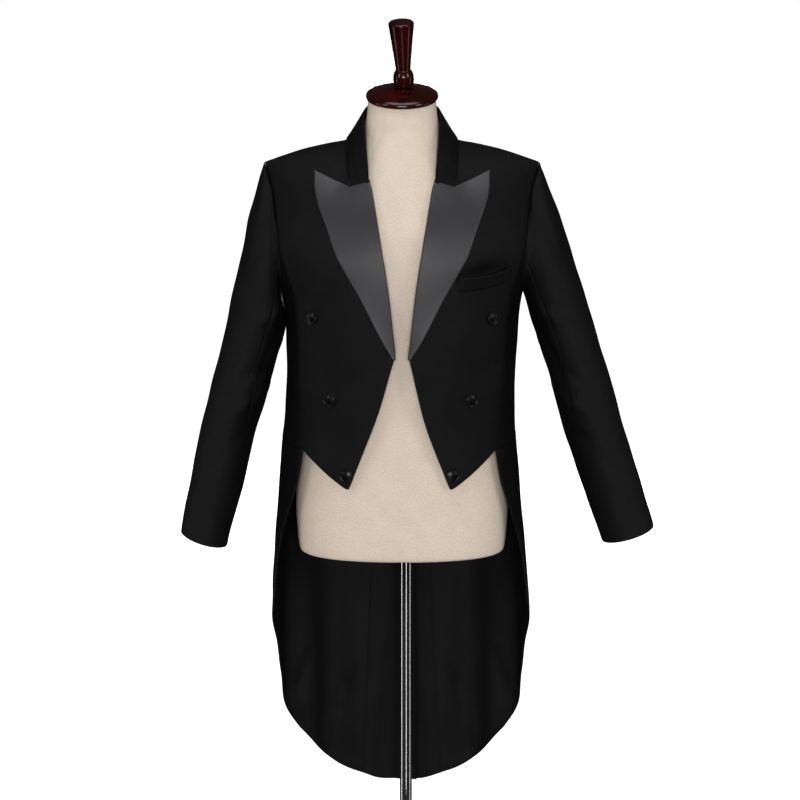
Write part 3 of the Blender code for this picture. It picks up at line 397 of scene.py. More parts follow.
# How the cloth lies: pressed seams, turned edges, and creases listed one by one
SEAM_DIP = 0.0006
SEAM_WIDTH = 0.0016
ALLOWANCE_RISE = 0.3 * SEAM_DIP
ALLOWANCE = 0.006
ALLOWANCE_SPREAD = 0.003
EDGE_ROLL = 0.0009
EDGE_REACH = 0.0013
TURNING_RISE = 0.0003
TURNING_WIDTH = 0.012
HEM_BAND = 0.016
HEM_BAND_WALL = 0.0007
REST_WAVE = 0.0005
# Waves and creases fade out within this distance of a panel's rim
CALM_REACH = 0.012

# A crease runs from one end to the other as seen from the front or the back, x
# from the centre line towards the side. Depth is a ridge's height, or below 0 a trough's.
Crease = namedtuple("Crease", "x0 z0 x1 z1 bow depth width")
FRONT_CREASES = [
    Crease(0.150, 1.330, 0.196, 1.250, 0.006, 0.0012, 0.010),
    Crease(0.132, 1.300, 0.190, 1.226, 0.010, -0.0010, 0.009),
    Crease(0.178, 1.205, 0.170, 1.060, 0.006, -0.0014, 0.012),
    Crease(0.150, 1.180, 0.142, 1.040, 0.004, 0.0009, 0.013),
    Crease(0.184, 1.090, 0.120, 1.052, -0.004, -0.0011, 0.008),
    Crease(0.187, 1.045, 0.110, 1.022, 0.004, 0.0011, 0.009),
    Crease(0.185, 1.005, 0.128, 0.992, 0.003, -0.0008, 0.007),
    Crease(0.100, 1.060, 0.150, 0.955, 0.008, 0.0008, 0.012),
    Crease(0.060, 1.070, 0.100, 0.930, -0.004, 0.0009, 0.013),
    Crease(0.105, 1.395, 0.135, 1.330, 0.004, 0.0008, 0.011),
]
BACK_CREASES = [
    Crease(0.140, 1.330, 0.176, 1.225, 0.010, 0.0022, 0.011),
    Crease(0.122, 1.320, 0.160, 1.200, 0.010, -0.0016, 0.010),
    Crease(0.020, 1.400, 0.070, 1.385, 0.004, -0.0010, 0.009),
    Crease(0.050, 1.120, 0.150, 1.078, 0.006, -0.0016, 0.010),
    Crease(0.030, 1.070, 0.130, 1.036, -0.005, 0.0017, 0.010),
    Crease(0.022, 1.020, 0.110, 1.006, 0.004, -0.0014, 0.008),
    Crease(0.060, 1.180, 0.100, 1.120, 0.004, 0.0010, 0.013),
    Crease(0.120, 0.920, 0.150, 0.700, -0.010, 0.0024, 0.016),
    Crease(0.165, 0.900, 0.185, 0.640, 0.008, -0.0022, 0.015),
    Crease(0.050, 0.900, 0.090, 0.610, 0.008, -0.0018, 0.014),
    Crease(0.154, 0.560, 0.176, 0.462, 0.004, 0.0034, 0.011),
    Crease(0.082, 0.520, 0.110, 0.430, 0.004, 0.0028, 0.010),
    Crease(0.030, 0.640, 0.050, 0.380, -0.004, -0.0022, 0.013),
    Crease(0.120, 0.440, 0.128, 0.370, 0.002, -0.0018, 0.009),
]
# The chest sinks a little at the mouth of the breast pocket
WELT_HOLLOW = Crease(0.0700, 1.2130, 0.1760, 1.2300, -0.001, -0.0066, 0.0135)


def crease_rise(creases, x, z):
    """Rise of all creases at places seen from the front or the back."""
    rise = np.zeros_like(x)
    for number, crease in enumerate(creases):
        start = np.array([crease.x0, crease.z0])
        along = np.array([crease.x1, crease.z1]) - start
        length = np.linalg.norm(along)
        along = along / length
        away_x, away_z = x - start[0], z - start[1]
        t = (away_x * along[0] + away_z * along[1]) / length
        inside = np.clip(t, 0.0, 1.0)
        off = away_x * -along[1] + away_z * along[0] - crease.bow * 4 * inside * (1 - inside)
        beyond = np.maximum(0.0, np.maximum(-t, t - 1)) * length
        uneven = 1 + 0.3 * np.sin(9.0 * t + 2.1 * number)
        taper = np.sqrt(np.clip(np.sin(math.pi * inside), 0.0, 1.0))
        width = crease.width * (0.8 + 0.4 * inside)
        rise += crease.depth * uneven * taper * np.exp(-(off / width) ** 2 - (beyond / width) ** 2)
    return rise


def rest_wave(points, seed):
    """Slight waves that worn cloth keeps all over."""
    x, y, z = points[..., 0], points[..., 1], points[..., 2]
    return REST_WAVE * (np.sin(41 * x + 23 * z + seed) * np.sin(29 * y + 37 * z + 2 * seed)
                        + 0.5 * np.sin(83 * z - 51 * x + 3 * seed) * np.sin(71 * y + 19 * x))


def seam_rise(distance):
    """A pressed seam: a dip along its line, a low ridge over the edge of its allowance."""
    dip = np.exp(-(distance / SEAM_WIDTH) ** 2)
    return -SEAM_DIP * dip + ALLOWANCE_RISE * np.exp(-((distance - ALLOWANCE) / ALLOWANCE_SPREAD) ** 2)


def rolled(distance, reach, depth):
    """How far a rounded edge falls away, by the distance from it."""
    near = np.clip(1 - distance / reach, 0.0, 1.0)
    return depth * (1 - np.sqrt(1 - near ** 2))


def edge_rise(distance):
    """A turned edge: rolled over at its end, a little proud along its turning."""
    turning = TURNING_RISE * (1 - ease(TURNING_WIDTH * 0.8, TURNING_WIDTH, distance))
    return turning - rolled(distance, EDGE_REACH, EDGE_ROLL)


def hem_wall(distance):
    """Extra thickness inside, where the hem is turned up and faced."""
    return HEM_BAND_WALL * (1 - ease(HEM_BAND - 0.0006, HEM_BAND + 0.0006, distance))


# Materials
def material(name, colour, roughness, metallic=0.0, **sockets):
    """A new Principled material; names of further sockets have _ for a space."""
    made = bpy.data.materials.new(name)
    made.use_nodes = True
    shader = made.node_tree.nodes["Principled BSDF"]
    shader.inputs["Base Color"].default_value = (*colour, 1.0)
    shader.inputs["Roughness"].default_value = roughness
    shader.inputs["Metallic"].default_value = metallic
    for socket, value in sockets.items():
        shader.inputs[socket.replace("_", " ")].default_value = value
    return made


def filled(tree, made, inputs):
    """The node with its inputs set or linked."""
    for key, value in dict(inputs).items():
        if isinstance(value, bpy.types.NodeSocket):
            tree.links.new(value, made.inputs[key])
        else:
            made.inputs[key].default_value = value
    return made


def node(tree, kind, place, inputs=(), **settings):
    """A shader node with its settings, and its inputs set or linked."""
    made = tree.nodes.new(kind)
    made.location = place
    for key, value in settings.items():
        setattr(made, key, value)
    return filled(tree, made, inputs)


def group(name, inputs, outputs):
    """An empty shader group with its named sockets, given as name: (kind, value) and name: kind."""
    tree = bpy.data.node_groups.new(name, "ShaderNodeTree")
    for key, (kind, value) in inputs.items():
        socket = tree.interface.new_socket(key, in_out="INPUT", socket_type=kind)
        if value is not None:
            socket.default_value = value
    for key, kind in outputs.items():
        tree.interface.new_socket(key, in_out="OUTPUT", socket_type=kind)
    return tree, tree.nodes.new("NodeGroupInput"), tree.nodes.new("NodeGroupOutput")


def arithmetic(tree, operation, place, *values):
    """The output of a Math node."""
    return node(tree, "ShaderNodeMath", place, dict(enumerate(values)), operation=operation).outputs[0]


def parts_of(made):
    """A material's node tree and its Principled shader."""
    return made.node_tree, made.node_tree.nodes["Principled BSDF"]


def object_place(tree, place):
    return node(tree, "ShaderNodeTexCoord", place).outputs["Object"]


def twill_group():
    """Diagonal ribs of a woven cloth on its own UV map, with uneven yarns."""
    tree, given, put = group("Twill", {
        "Vector": ("NodeSocketVector", None),
        "Rib": ("NodeSocketFloat", 900.0),
        "Slope": ("NodeSocketFloat", 1.0),
    }, {"Height": "NodeSocketFloat", "Yarn": "NodeSocketFloat"})
    given.location, put.location = (-1000, 0), (500, 0)
    split = node(tree, "ShaderNodeSeparateXYZ", (-800, 0), {"Vector": given.outputs["Vector"]})
    sloped = arithmetic(tree, "MULTIPLY", (-640, 60), split.outputs["X"], given.outputs["Slope"])
    both = arithmetic(tree, "ADD", (-480, 60), sloped, split.outputs["Y"])
    turns = arithmetic(tree, "MULTIPLY", (-320, 60), both, given.outputs["Rib"])
    wave = arithmetic(tree, "SINE", (-160, 60), turns)
    yarn = node(tree, "ShaderNodeTexNoise", (-480, -220), {
        "Vector": given.outputs["Vector"], "Scale": 420.0, "Detail": 3.0, "Roughness": 0.6})
    filled(tree, put, {"Height": arithmetic(tree, "ADD", (0, 0), wave, yarn.outputs["Fac"]),
                       "Yarn": yarn.outputs["Fac"]})
    return tree


def mottle_group():
    """Soft patches from 2 to 60 mm across, as worn or lit cloth and wood have."""
    tree, given, put = group("Mottle", {
        "Vector": ("NodeSocketVector", None),
        "Low": ("NodeSocketFloat", 0.85),
        "High": ("NodeSocketFloat", 1.15),
        "Scale": ("NodeSocketFloat", 18.0),
    }, {"Factor": "NodeSocketFloat"})
    given.location, put.location = (-800, 0), (400, 0)
    patches = node(tree, "ShaderNodeTexNoise", (-560, 0), {
        "Vector": given.outputs["Vector"], "Scale": given.outputs["Scale"], "Detail": 5.0,
        "Roughness": 0.55})
    filled(tree, put, {"Factor": spread(tree, (-300, 0), patches.outputs["Fac"], given.outputs["Low"],
                                        given.outputs["High"])})
    return tree


def spread(tree, place, value, low, high):
    """A noise's middle range spread from low to high."""
    return node(tree, "ShaderNodeMapRange", place, {
        "Value": value, "From Min": 0.3, "From Max": 0.7, "To Min": low, "To Max": high}).outputs["Result"]


TWILL = twill_group()
MOTTLE = mottle_group()


def use(tree, shared, place, inputs):
    """A shared group placed in a material."""
    return filled(tree, node(tree, "ShaderNodeGroup", place, node_tree=shared), inputs)


def woven(made, rib, slope, bump, dark, light, patch_scale=18.0):
    """Give a cloth material its weave and patches, on the cloth's own UV map."""
    tree, shader = parts_of(made)
    base = tuple(shader.inputs["Base Color"].default_value)[:3]
    place = node(tree, "ShaderNodeUVMap", (-1300, 0), uv_map="cloth")
    weave = use(tree, TWILL, (-1000, -200), {"Vector": place.outputs["UV"], "Rib": rib, "Slope": slope})
    patches = use(tree, MOTTLE, (-1000, 300), {
        "Vector": object_place(tree, (-1300, 300)), "Low": dark, "High": light, "Scale": patch_scale})
    yarn = spread(tree, (-760, 60), weave.outputs["Yarn"], 0.85, 1.15)
    level = arithmetic(tree, "MULTIPLY", (-560, 200), patches.outputs["Factor"], yarn)
    colour = node(tree, "ShaderNodeVectorMath", (-360, 200), {0: base, "Scale": level}, operation="SCALE")
    relief = node(tree, "ShaderNodeBump", (-360, -260), {
        "Height": weave.outputs["Height"], "Strength": 0.35, "Distance": bump})
    filled(tree, shader, {"Base Color": colour.outputs["Vector"], "Normal": relief.outputs["Normal"]})
    return made


WOOL = woven(material("worsted wool", (0.0022, 0.0022, 0.0024), 0.60, Specular_IOR_Level=0.12),
             7400.0, 1.0, 0.00012, 0.80, 1.20)
SATIN = woven(material("lapel satin", (0.0170, 0.0166, 0.0196), 0.40, Specular_IOR_Level=0.52),
              15000.0, 0.2, 0.00003, 0.95, 1.05, 9.0)
BUTTON_CLOTH = woven(material("button cloth", (0.0020, 0.0020, 0.0022), 0.28, Specular_IOR_Level=0.18),
                     9000.0, 1.0, 0.00004, 0.90, 1.10)
LINEN = woven(material("form linen", (0.560, 0.475, 0.395), 0.90, Specular_IOR_Level=0.2),
              5200.0, 0.0, 0.00025, 0.96, 1.04, 30.0)


def lacquer():
    """Dark red lacquered wood: faint grain, a glossy coat."""
    made = material("lacquered wood", (0.018, 0.0008, 0.0006), 0.34, Specular_IOR_Level=0.0,
                    Coat_Weight=0.7, Coat_Roughness=0.15)
    tree, shader = parts_of(made)
    stretched = node(tree, "ShaderNodeMapping", (-1100, 0), {
        "Vector": object_place(tree, (-1300, 0)), "Scale": (60.0, 60.0, 9.0)})
    grain = node(tree, "ShaderNodeTexNoise", (-900, 0), {
        "Vector": stretched.outputs["Vector"], "Scale": 1.0, "Detail": 6.0, "Roughness": 0.6})
    tone = node(tree, "ShaderNodeValToRGB", (-640, 0), {"Fac": grain.outputs["Fac"]})
    dark, light = tone.color_ramp.elements
    dark.position, light.position = 0.32, 0.70
    dark.color, light.color = (0.0065, 0.0004, 0.0003, 1), (0.0300, 0.0012, 0.0008, 1)
    tree.links.new(tone.outputs["Color"], shader.inputs["Base Color"])
    return made


def brushed(name, colour, roughness, metallic, scale, low, high):
    """A metal or enamel with a fine uneven finish."""
    made = material(name, colour, roughness, metallic)
    tree, shader = parts_of(made)
    patches = use(tree, MOTTLE, (-760, 0), {
        "Vector": object_place(tree, (-1000, 0)), "Low": low, "High": high, "Scale": scale})
    tree.links.new(patches.outputs["Factor"], shader.inputs["Roughness"])
    return made


LACQUER = lacquer()
CHROME = brushed("polished tube", (0.62, 0.62, 0.64), 0.06, 1.0, 120.0, 0.055, 0.070)
ENAMEL = brushed("base enamel", (0.020, 0.020, 0.022), 0.4, 0.0, 90.0, 0.32, 0.50)


# Making the pieces
SHARP_ANGLE = math.radians(50)


def linked(name, data):
    """A new object in the scene."""
    thing = bpy.data.objects.new(name, data)
    bpy.context.scene.collection.objects.link(thing)
    return thing


def object_of(name, maker):
    """A smooth object from a finished bmesh, sharp at its corners."""
    mesh = bpy.data.meshes.new(name)
    maker.to_mesh(mesh)
    maker.free()
    mesh.shade_smooth()
    mesh.set_sharp_from_angle(angle=SHARP_ANGLE)
    return linked(name, mesh)


def finish_piece(thing, made, node_name):
    """Give a piece its material, in place of its node's plain solid."""
    thing.data.materials.append(made)
    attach(thing, "root")
    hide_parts(node_name)


def cloth(name, outer, inner):
    """A wall of cloth between the grids of points of its two faces, with a UV map in metres."""
    rows, columns = outer.shape[0] - 1, outer.shape[1] - 1
    maker = bmesh.new()
    for points in (outer, inner):
        face = bmesh.ops.create_grid(maker, x_segments=columns, y_segments=rows, size=0.5)
        for vert in face["verts"]:
            i = round((vert.co.x + 0.5) * columns)
            j = round((0.5 - vert.co.y) * rows)
            vert.co = points[j, i]
    layer = maker.loops.layers.uv.new("cloth")
    maker.verts.index_update()
    across = rim_distances(outer).inner.mean(axis=0)
    lowest = float(outer[..., 2].min())
    places = [(across[vert.index % (columns + 1)], vert.co.z - lowest) for vert in maker.verts]
    bmesh.ops.bridge_loops(maker, edges=[edge for edge in maker.edges if edge.is_boundary])
    bmesh.ops.recalc_face_normals(maker, faces=maker.faces[:])
    if maker.calc_volume(signed=True) < 0:
        bmesh.ops.reverse_faces(maker, faces=maker.faces[:])
    for face in maker.faces:
        for loop in face.loops:
            loop[layer].uv = places[loop.vert.index]
    return object_of(name, maker)


# What each sheet was cut to, as width and length of its pattern piece and its area, and how it is held
Cut = namedtuple("Cut", "width length area held")


def add_sheet(kind, side_name, outer, inner):
    """A sheet of cloth in place of its node's solid, of satin for a lapel and else of wool."""
    node_name = f"{kind}_{side_name}" if side_name else kind
    is_satin = kind == "lapel"
    thing = cloth(f"{node_name}_{'satin' if is_satin else 'cloth'}", outer, inner)
    finish_piece(thing, SATIN if is_satin else WOOL, node_name)


def body_panel(kind, side_name, grid, seams, edges, creases, drop=None, hem=()):
    """A body panel on the shell, with the given sides of its rim as seams or turned edges."""
    side = SIDES[side_name]
    points, normals, rim = on_shell(grid, side)
    seen_x = np.abs(points[..., 0] - CENTRE_X)
    rise = crease_rise(creases, seen_x, points[..., 2]) + rest_wave(points, 1.7 * side)
    calm = np.ones_like(rise)
    for name in seams + edges:
        calm *= ease(0.0, CALM_REACH, getattr(rim, name))
    rise *= calm
    for name in seams:
        rise += seam_rise(getattr(rim, name))
    for name in edges:
        rise += edge_rise(getattr(rim, name))
    if drop is not None:
        rise -= drop(grid)
    wall = np.full_like(rise, WOOL_WALL)
    for name in hem:
        wall = np.maximum(wall, WOOL_WALL + hem_wall(getattr(rim, name)))
    outer = points + normals * rise[..., None]
    add_sheet(kind, side_name, outer, outer - normals * wall[..., None])


def forepart(side_name):
    top = joined(neck_line(False, NECK_COLUMNS_FRONT), shoulder_line(False))
    outer = joined(ARMHOLE_FRONT, SIDE_SEAM)
    roll_rows = ARMHOLE_ROWS + SIDE_ROWS - CUTAWAY_ROWS
    inner = joined(line([GORGE] + ROLL_BENDS + [ROLL_END], roll_rows, 1.2),
                   line([ROLL_END, front(0.0380, 0.988), front(0.0740, 0.892), FRONT_POINT], CUTAWAY_ROWS))
    hem_columns = NECK_COLUMNS_FRONT + SHOULDER_COLUMNS - WAIST_FRONT_COLUMNS
    hem = line([FRONT_POINT, front(0.0880, 0.873), front(0.1060, 0.8855), front(0.1330, 0.908),
                HEM_JOINT], hem_columns)
    grid = patch(top, joined(hem, WAIST_FRONT), inner, outer)
    creases = FRONT_CREASES + [WELT_HOLLOW] * (side_name == "left")
    body_panel("forepart", side_name, grid, ("top", "outer"), ("inner", "bottom"), creases)


def side_body(side_name):
    grid = patch(ARMHOLE_UNDER, WAIST_BACK, SIDE_SEAM, BACK_SEAM)
    body_panel("side_body", side_name, grid, ("top", "bottom", "inner", "outer"), (), BACK_CREASES)


def back(side_name):
    is_under = side_name == "right"
    vent_line = line([spot(180.0, VENT_TOP), spot(180.0, VENT_FOOT)], TAIL_ROWS)
    if is_under:
        vent_line[1:, 0] = [180.0 + front(UNDERLAP, height)[0] for height in vent_line[1:, 1]]

    def drop(grid):
        x = -shell(grid)[..., 0]
        below = 1 - ease(VENT_TOP, VENT_TOP + UNDERLAP_EASE, grid[..., 1])
        return UNDERLAP_DROP * below * ease(-UNDERLAP_RAMP, -0.001, x)

    outer = joined(ARMHOLE_BACK, BACK_SEAM, TAIL_SEAM)
    top = joined(neck_line(True, NECK_COLUMNS_BACK), shoulder_line(True))
    inner = joined(line([top[0], spot(180.0, VENT_TOP)], PITCH_ROWS + SIDE_ROWS, 1.2), vent_line)
    hem = line([vent_line[-1], rear(0.035, 0.3135), HEM_SEAM], NECK_COLUMNS_BACK + SHOULDER_COLUMNS)
    grid = patch(top, hem, inner, outer)
    body_panel("back", side_name, grid, ("top", "outer", "inner"), ("bottom",), BACK_CREASES,
               drop if is_under else None, ("bottom",))


def skirt(side_name):
    top = joined(WAIST_BACK[::-1], WAIST_FRONT[::-1])
    grid = patch(top, TAIL_HEM, TAIL_SEAM, TAIL_EDGE)
    body_panel("skirt", side_name, grid, ("top", "inner"), ("outer", "bottom"), BACK_CREASES,
               hem=("outer", "bottom"))


# Lapels
LAPEL_ROWS = 15
LAPEL_GORGE_COLUMNS = 2
LAPEL_PEAK_COLUMNS = 3
LAPEL_GORGE = front(0.0535, 1.3665)
LAPEL_FOOT = front(0.0150, 1.0885)
NOTCH = front(0.0830, 1.3575)
PEAK = front(0.1415, 1.3825)
ROLL_RISE = 0.0042
LAPEL_TOP = 1.3700
LAPEL_EDGE_ROLL = 0.0011
LAPEL_ROLL_REACH = 0.0016
# The satin turns round the forepart's front edge, and a narrow facing of it lies inside
FOLD_REACH = 0.0022
FOLD_STEPS = 8
FACING = (0.012, 0.009, 0.006, 0.003)


def with_fold(outer, normals, rise):
    """The lapel's points and normals, with columns added for the facing inside and the fold."""
    edge, normal = outer[:, 0], normals[:, 0]
    inwards = outer[:, 0] - outer[:, 2]
    inwards = unit(inwards - normal * np.sum(inwards * normal, axis=-1, keepdims=True))
    depth = rise[:, :1] + WOOL_WALL + LAPEL_GAP + SATIN_WALL
    columns = [edge - normal * depth - inwards * reach for reach in FACING]
    turned_normals = [-normal] * len(FACING)
    for k in range(FOLD_STEPS, 0, -1):
        across, along = math.sin(math.pi * k / FOLD_STEPS), math.cos(math.pi * k / FOLD_STEPS)
        columns.append(edge + inwards * FOLD_REACH * across - normal * depth * (1 - along) / 2)
        turned_normals.append(unit(inwards * across * depth / 2 + normal * along * FOLD_REACH))
    added, added_normals = np.stack(columns, axis=1), np.stack(turned_normals, axis=1)
    return np.concatenate([added, outer], axis=1), np.concatenate([added_normals, normals], axis=1)


def x_of_line(spots, height):
    """Distance from the centre line, at a height, of a line that falls steadily."""
    points = shell(spots)[::-1]
    return np.interp(height, points[:, 2], points[:, 0])


def lapel(side_name):
    """A peaked lapel faced in satin, laid on its forepart with a soft roll along the crease."""
    side = SIDES[side_name]
    columns = LAPEL_GORGE_COLUMNS + LAPEL_PEAK_COLUMNS
    top = joined(line([LAPEL_GORGE, NOTCH], LAPEL_GORGE_COLUMNS), line([NOTCH, PEAK], LAPEL_PEAK_COLUMNS))
    belly = line([PEAK, front(0.1380, 1.344), front(0.1180, 1.290), front(0.0935, 1.231),
                  front(0.0417, 1.135), LAPEL_FOOT], LAPEL_ROWS)
    crease = line([LAPEL_GORGE] + ROLL_BENDS + [ROLL_END], LAPEL_ROWS)
    grid = patch(top, line([ROLL_END, LAPEL_FOOT], columns), crease, belly)
    points, normals, rim = on_shell(grid, side)
    down = np.clip((LAPEL_TOP - points[..., 2]) / (LAPEL_TOP - LAPEL_FOOT[1]), 0.0, 1.0)
    seen_x = np.abs(points[..., 0] - CENTRE_X)
    roll_x, belly_x = (x_of_line(edge, points[..., 2]) for edge in (crease, belly))
    across = np.clip((seen_x - roll_x) / np.maximum(belly_x - roll_x, 0.004), 0.0, 1.0)
    rise = ROLL_RISE * np.sin(math.pi * down ** 0.8) * (1 - across) ** 2
    rise = rise + LAPEL_GAP + SATIN_WALL + 0.4 * rest_wave(points, 2.3 * side)
    for distance in (rim.top, rim.outer):
        rise -= rolled(distance, LAPEL_ROLL_REACH, LAPEL_EDGE_ROLL)
    outer, normals = with_fold(points + normals * rise[..., None], normals, rise)
    add_sheet("lapel", side_name, outer, outer - normals * SATIN_WALL)


# Breast welt
WELT_HEIGHT = 0.024
WELT_GAPE = 0.0075
WELT_LIP = 0.0016
WELT_LIP_REACH = 0.0024
WELT_SINK = 0.0017
WELT_SINK_REACH = 0.005
WELT_GAP = 0.0009
WELT_TOP = [(0.0885, 1.2175), (0.1350, 1.2215), (0.1760, 1.2330)]
WELT_FOOT_X = (0.0895, 0.1350, 0.1745)
WELT_COLUMNS = 8
WELT_ROWS = 3


def breast_welt():
    """The welt of the breast pocket, fixed at its foot and gaping a little at its mouth."""
    top = line([front(x, height) for x, height in WELT_TOP], WELT_COLUMNS)
    bottom = line([front(x, at[1] - WELT_HEIGHT) for x, at in zip(WELT_FOOT_X, WELT_TOP)], WELT_COLUMNS)
    grid = patch(top, bottom, line([top[0], bottom[0]], WELT_ROWS), line([top[-1], bottom[-1]], WELT_ROWS))
    points, normals, rim = on_shell(grid, 1)
    across = rim.inner / np.maximum(rim.inner + rim.outer, 1e-6)
    share = rim.bottom / np.maximum(rim.top + rim.bottom, 1e-6)
    rise = WELT_GAPE * share ** 1.3 * np.sin(math.pi * across) ** 0.6 + WELT_GAP + SATIN_WALL
    rise -= rolled(rim.top, WELT_LIP_REACH, WELT_LIP)
    for distance in (rim.bottom, rim.inner, rim.outer):
        rise -= WELT_SINK * (1 - ease(0.0, WELT_SINK_REACH, distance))
    outer = points + normals * rise[..., None]
    add_sheet("breast_welt", None, outer, outer - normals * SATIN_WALL)


# Collar
COLLAR_WALL = 0.0018
COLLAR_SEAT = 0.0007
FALL_LIFT = (0.0046, 0.0032)
FALL_REACH = 0.055
FOLD_WIDTH = 0.0046
FOLD_DROP = 0.0030
COLLAR_ROLL = 0.0008
COLLAR_ROLL_REACH = 0.0014
COLLAR_STEPS = 10
COLLAR_PROFILE_STEPS = 6
Station = namedtuple("Station", "fold_x fold_y fold_z knee_x knee_y knee_z edge_x edge_y edge_z")
COLLAR = [
    Station(0.0530, -0.0845, 1.3685, 0.0685, -0.0795, 1.3632, 0.0840, -0.0745, 1.3590),
    Station(0.0560, -0.0630, 1.4080, 0.0740, -0.0600, 1.3970, 0.0895, -0.0508, 1.3860),
    Station(0.0590, -0.0310, 1.4420, 0.0770, -0.0285, 1.4270, 0.0915, -0.0190, 1.4115),
    Station(0.0605, 0.0160, 1.4705, 0.0765, 0.0190, 1.4510, 0.0900, 0.0190, 1.4312),
    Station(0.0520, 0.0480, 1.4820, 0.0660, 0.0580, 1.4560, 0.0755, 0.0638, 1.4220),
    Station(0.0290, 0.0660, 1.4870, 0.0370, 0.0768, 1.4590, 0.0430, 0.0848, 1.4270),
    Station(0.0000, 0.0710, 1.4880, 0.0000, 0.0808, 1.4600, 0.0000, 0.0870, 1.4290),
]
NECK_AXIS = np.array([0.0, 0.014, 0.0])


def collar_profile(station, neck_spot):
    """Points from the stand's foot over the fold and down to the fall's edge."""
    fold, knee, edge = (np.array(station[k:k + 3]) for k in (0, 3, 6))
    foot = shell(neck_spot) + outward(neck_spot) * COLLAR_SEAT
    away = unit((fold - NECK_AXIS) * np.array([1.0, 1.0, 0.0]))
    low = np.array([0.0, 0.0, FOLD_DROP])
    inside = fold - away * FOLD_WIDTH * 0.15 - low
    outside = fold + away * FOLD_WIDTH - low
    crown = fold + away * FOLD_WIDTH * 0.45
    return np.array([foot, (foot + inside) / 2, inside, crown, outside, (outside + knee) / 2, knee,
                     (knee + edge) / 2, edge])


def smoothed(rows, steps):
    """More rows on a smooth curve through the given ones, along the first axis."""
    ends = [rows[0] * 2 - rows[1], *rows, rows[-1] * 2 - rows[-2]]
    made = []
    for a, b, c, d in zip(ends, ends[1:], ends[2:], ends[3:]):
        made += [catmull(a, b, c, d, k / steps) for k in range(steps)]
    return np.array(made + [rows[-1]])


def laid_ends(grid):
    """The collar with the fall's two ends laid close on the foreparts, by the lapels."""
    x, y, z = grid[..., 0], grid[..., 1], grid[..., 2]
    middle = grid[:, grid.shape[1] * 6 // 8]
    along = np.concatenate([[0.0], np.cumsum(np.linalg.norm(np.diff(middle, axis=0), axis=1))])
    to_end = np.minimum(along, along[-1] - along)[:, None]
    out = np.clip(np.linspace(-3, 5, grid.shape[1]), 0.0, 5.0)[None, :] / 5
    share = (1 - ease(0.3 * FALL_REACH, FALL_REACH, to_end)) * ease(0.0, 0.2, out)
    width = half_width_at(np.minimum(z, CHEST_HEIGHT))
    turn = np.degrees(np.arcsin(np.minimum(1.0, np.abs(x) / width) ** (SQUARENESS / 2)))
    under = shell(np.stack([turn, z], axis=-1))[..., 1]
    lift = FALL_LIFT[0] + (FALL_LIFT[1] - FALL_LIFT[0]) * out
    slope = np.abs(outward(np.stack([turn, z], axis=-1))[..., 1])
    laid = np.maximum(y, under - lift / np.maximum(slope, 0.4))
    return np.stack([x, y + (laid - y) * share, z], axis=-1)


def collar():
    """One folded strip from the right gorge round the neck to the left gorge."""
    front_neck, back_neck = neck_line(False, 3), neck_line(True, 3)
    neck = [front(0.0532, 1.3685), front_neck[FINE], front_neck[2 * FINE], front_neck[3 * FINE],
            back_neck[2 * FINE], back_neck[FINE], back_neck[0]]
    half = [collar_profile(station, at) for station, at in zip(COLLAR, neck)]
    mirrored = np.array([-1.0, 1.0, 1.0])
    rings = [ring * mirrored for ring in half] + half[-2::-1]
    grid = smoothed(np.array(rings), COLLAR_STEPS)
    grid = np.swapaxes(smoothed(np.swapaxes(grid, 0, 1), COLLAR_PROFILE_STEPS), 0, 1)
    grid = with_close_rim(laid_ends(grid))
    grid[..., 0] += CENTRE_X
    around, down = np.gradient(grid, axis=0), np.gradient(grid, axis=1)
    normals = unit(np.cross(around, down))
    rim = rim_distances(grid)
    rise = 0.5 * rest_wave(grid, 4.0)
    for distance in (rim.outer, rim.top, rim.bottom):
        rise -= rolled(distance, COLLAR_ROLL_REACH, COLLAR_ROLL)
    outer = grid + normals * rise[..., None]
    add_sheet("collar", None, outer, outer - normals * COLLAR_WALL)


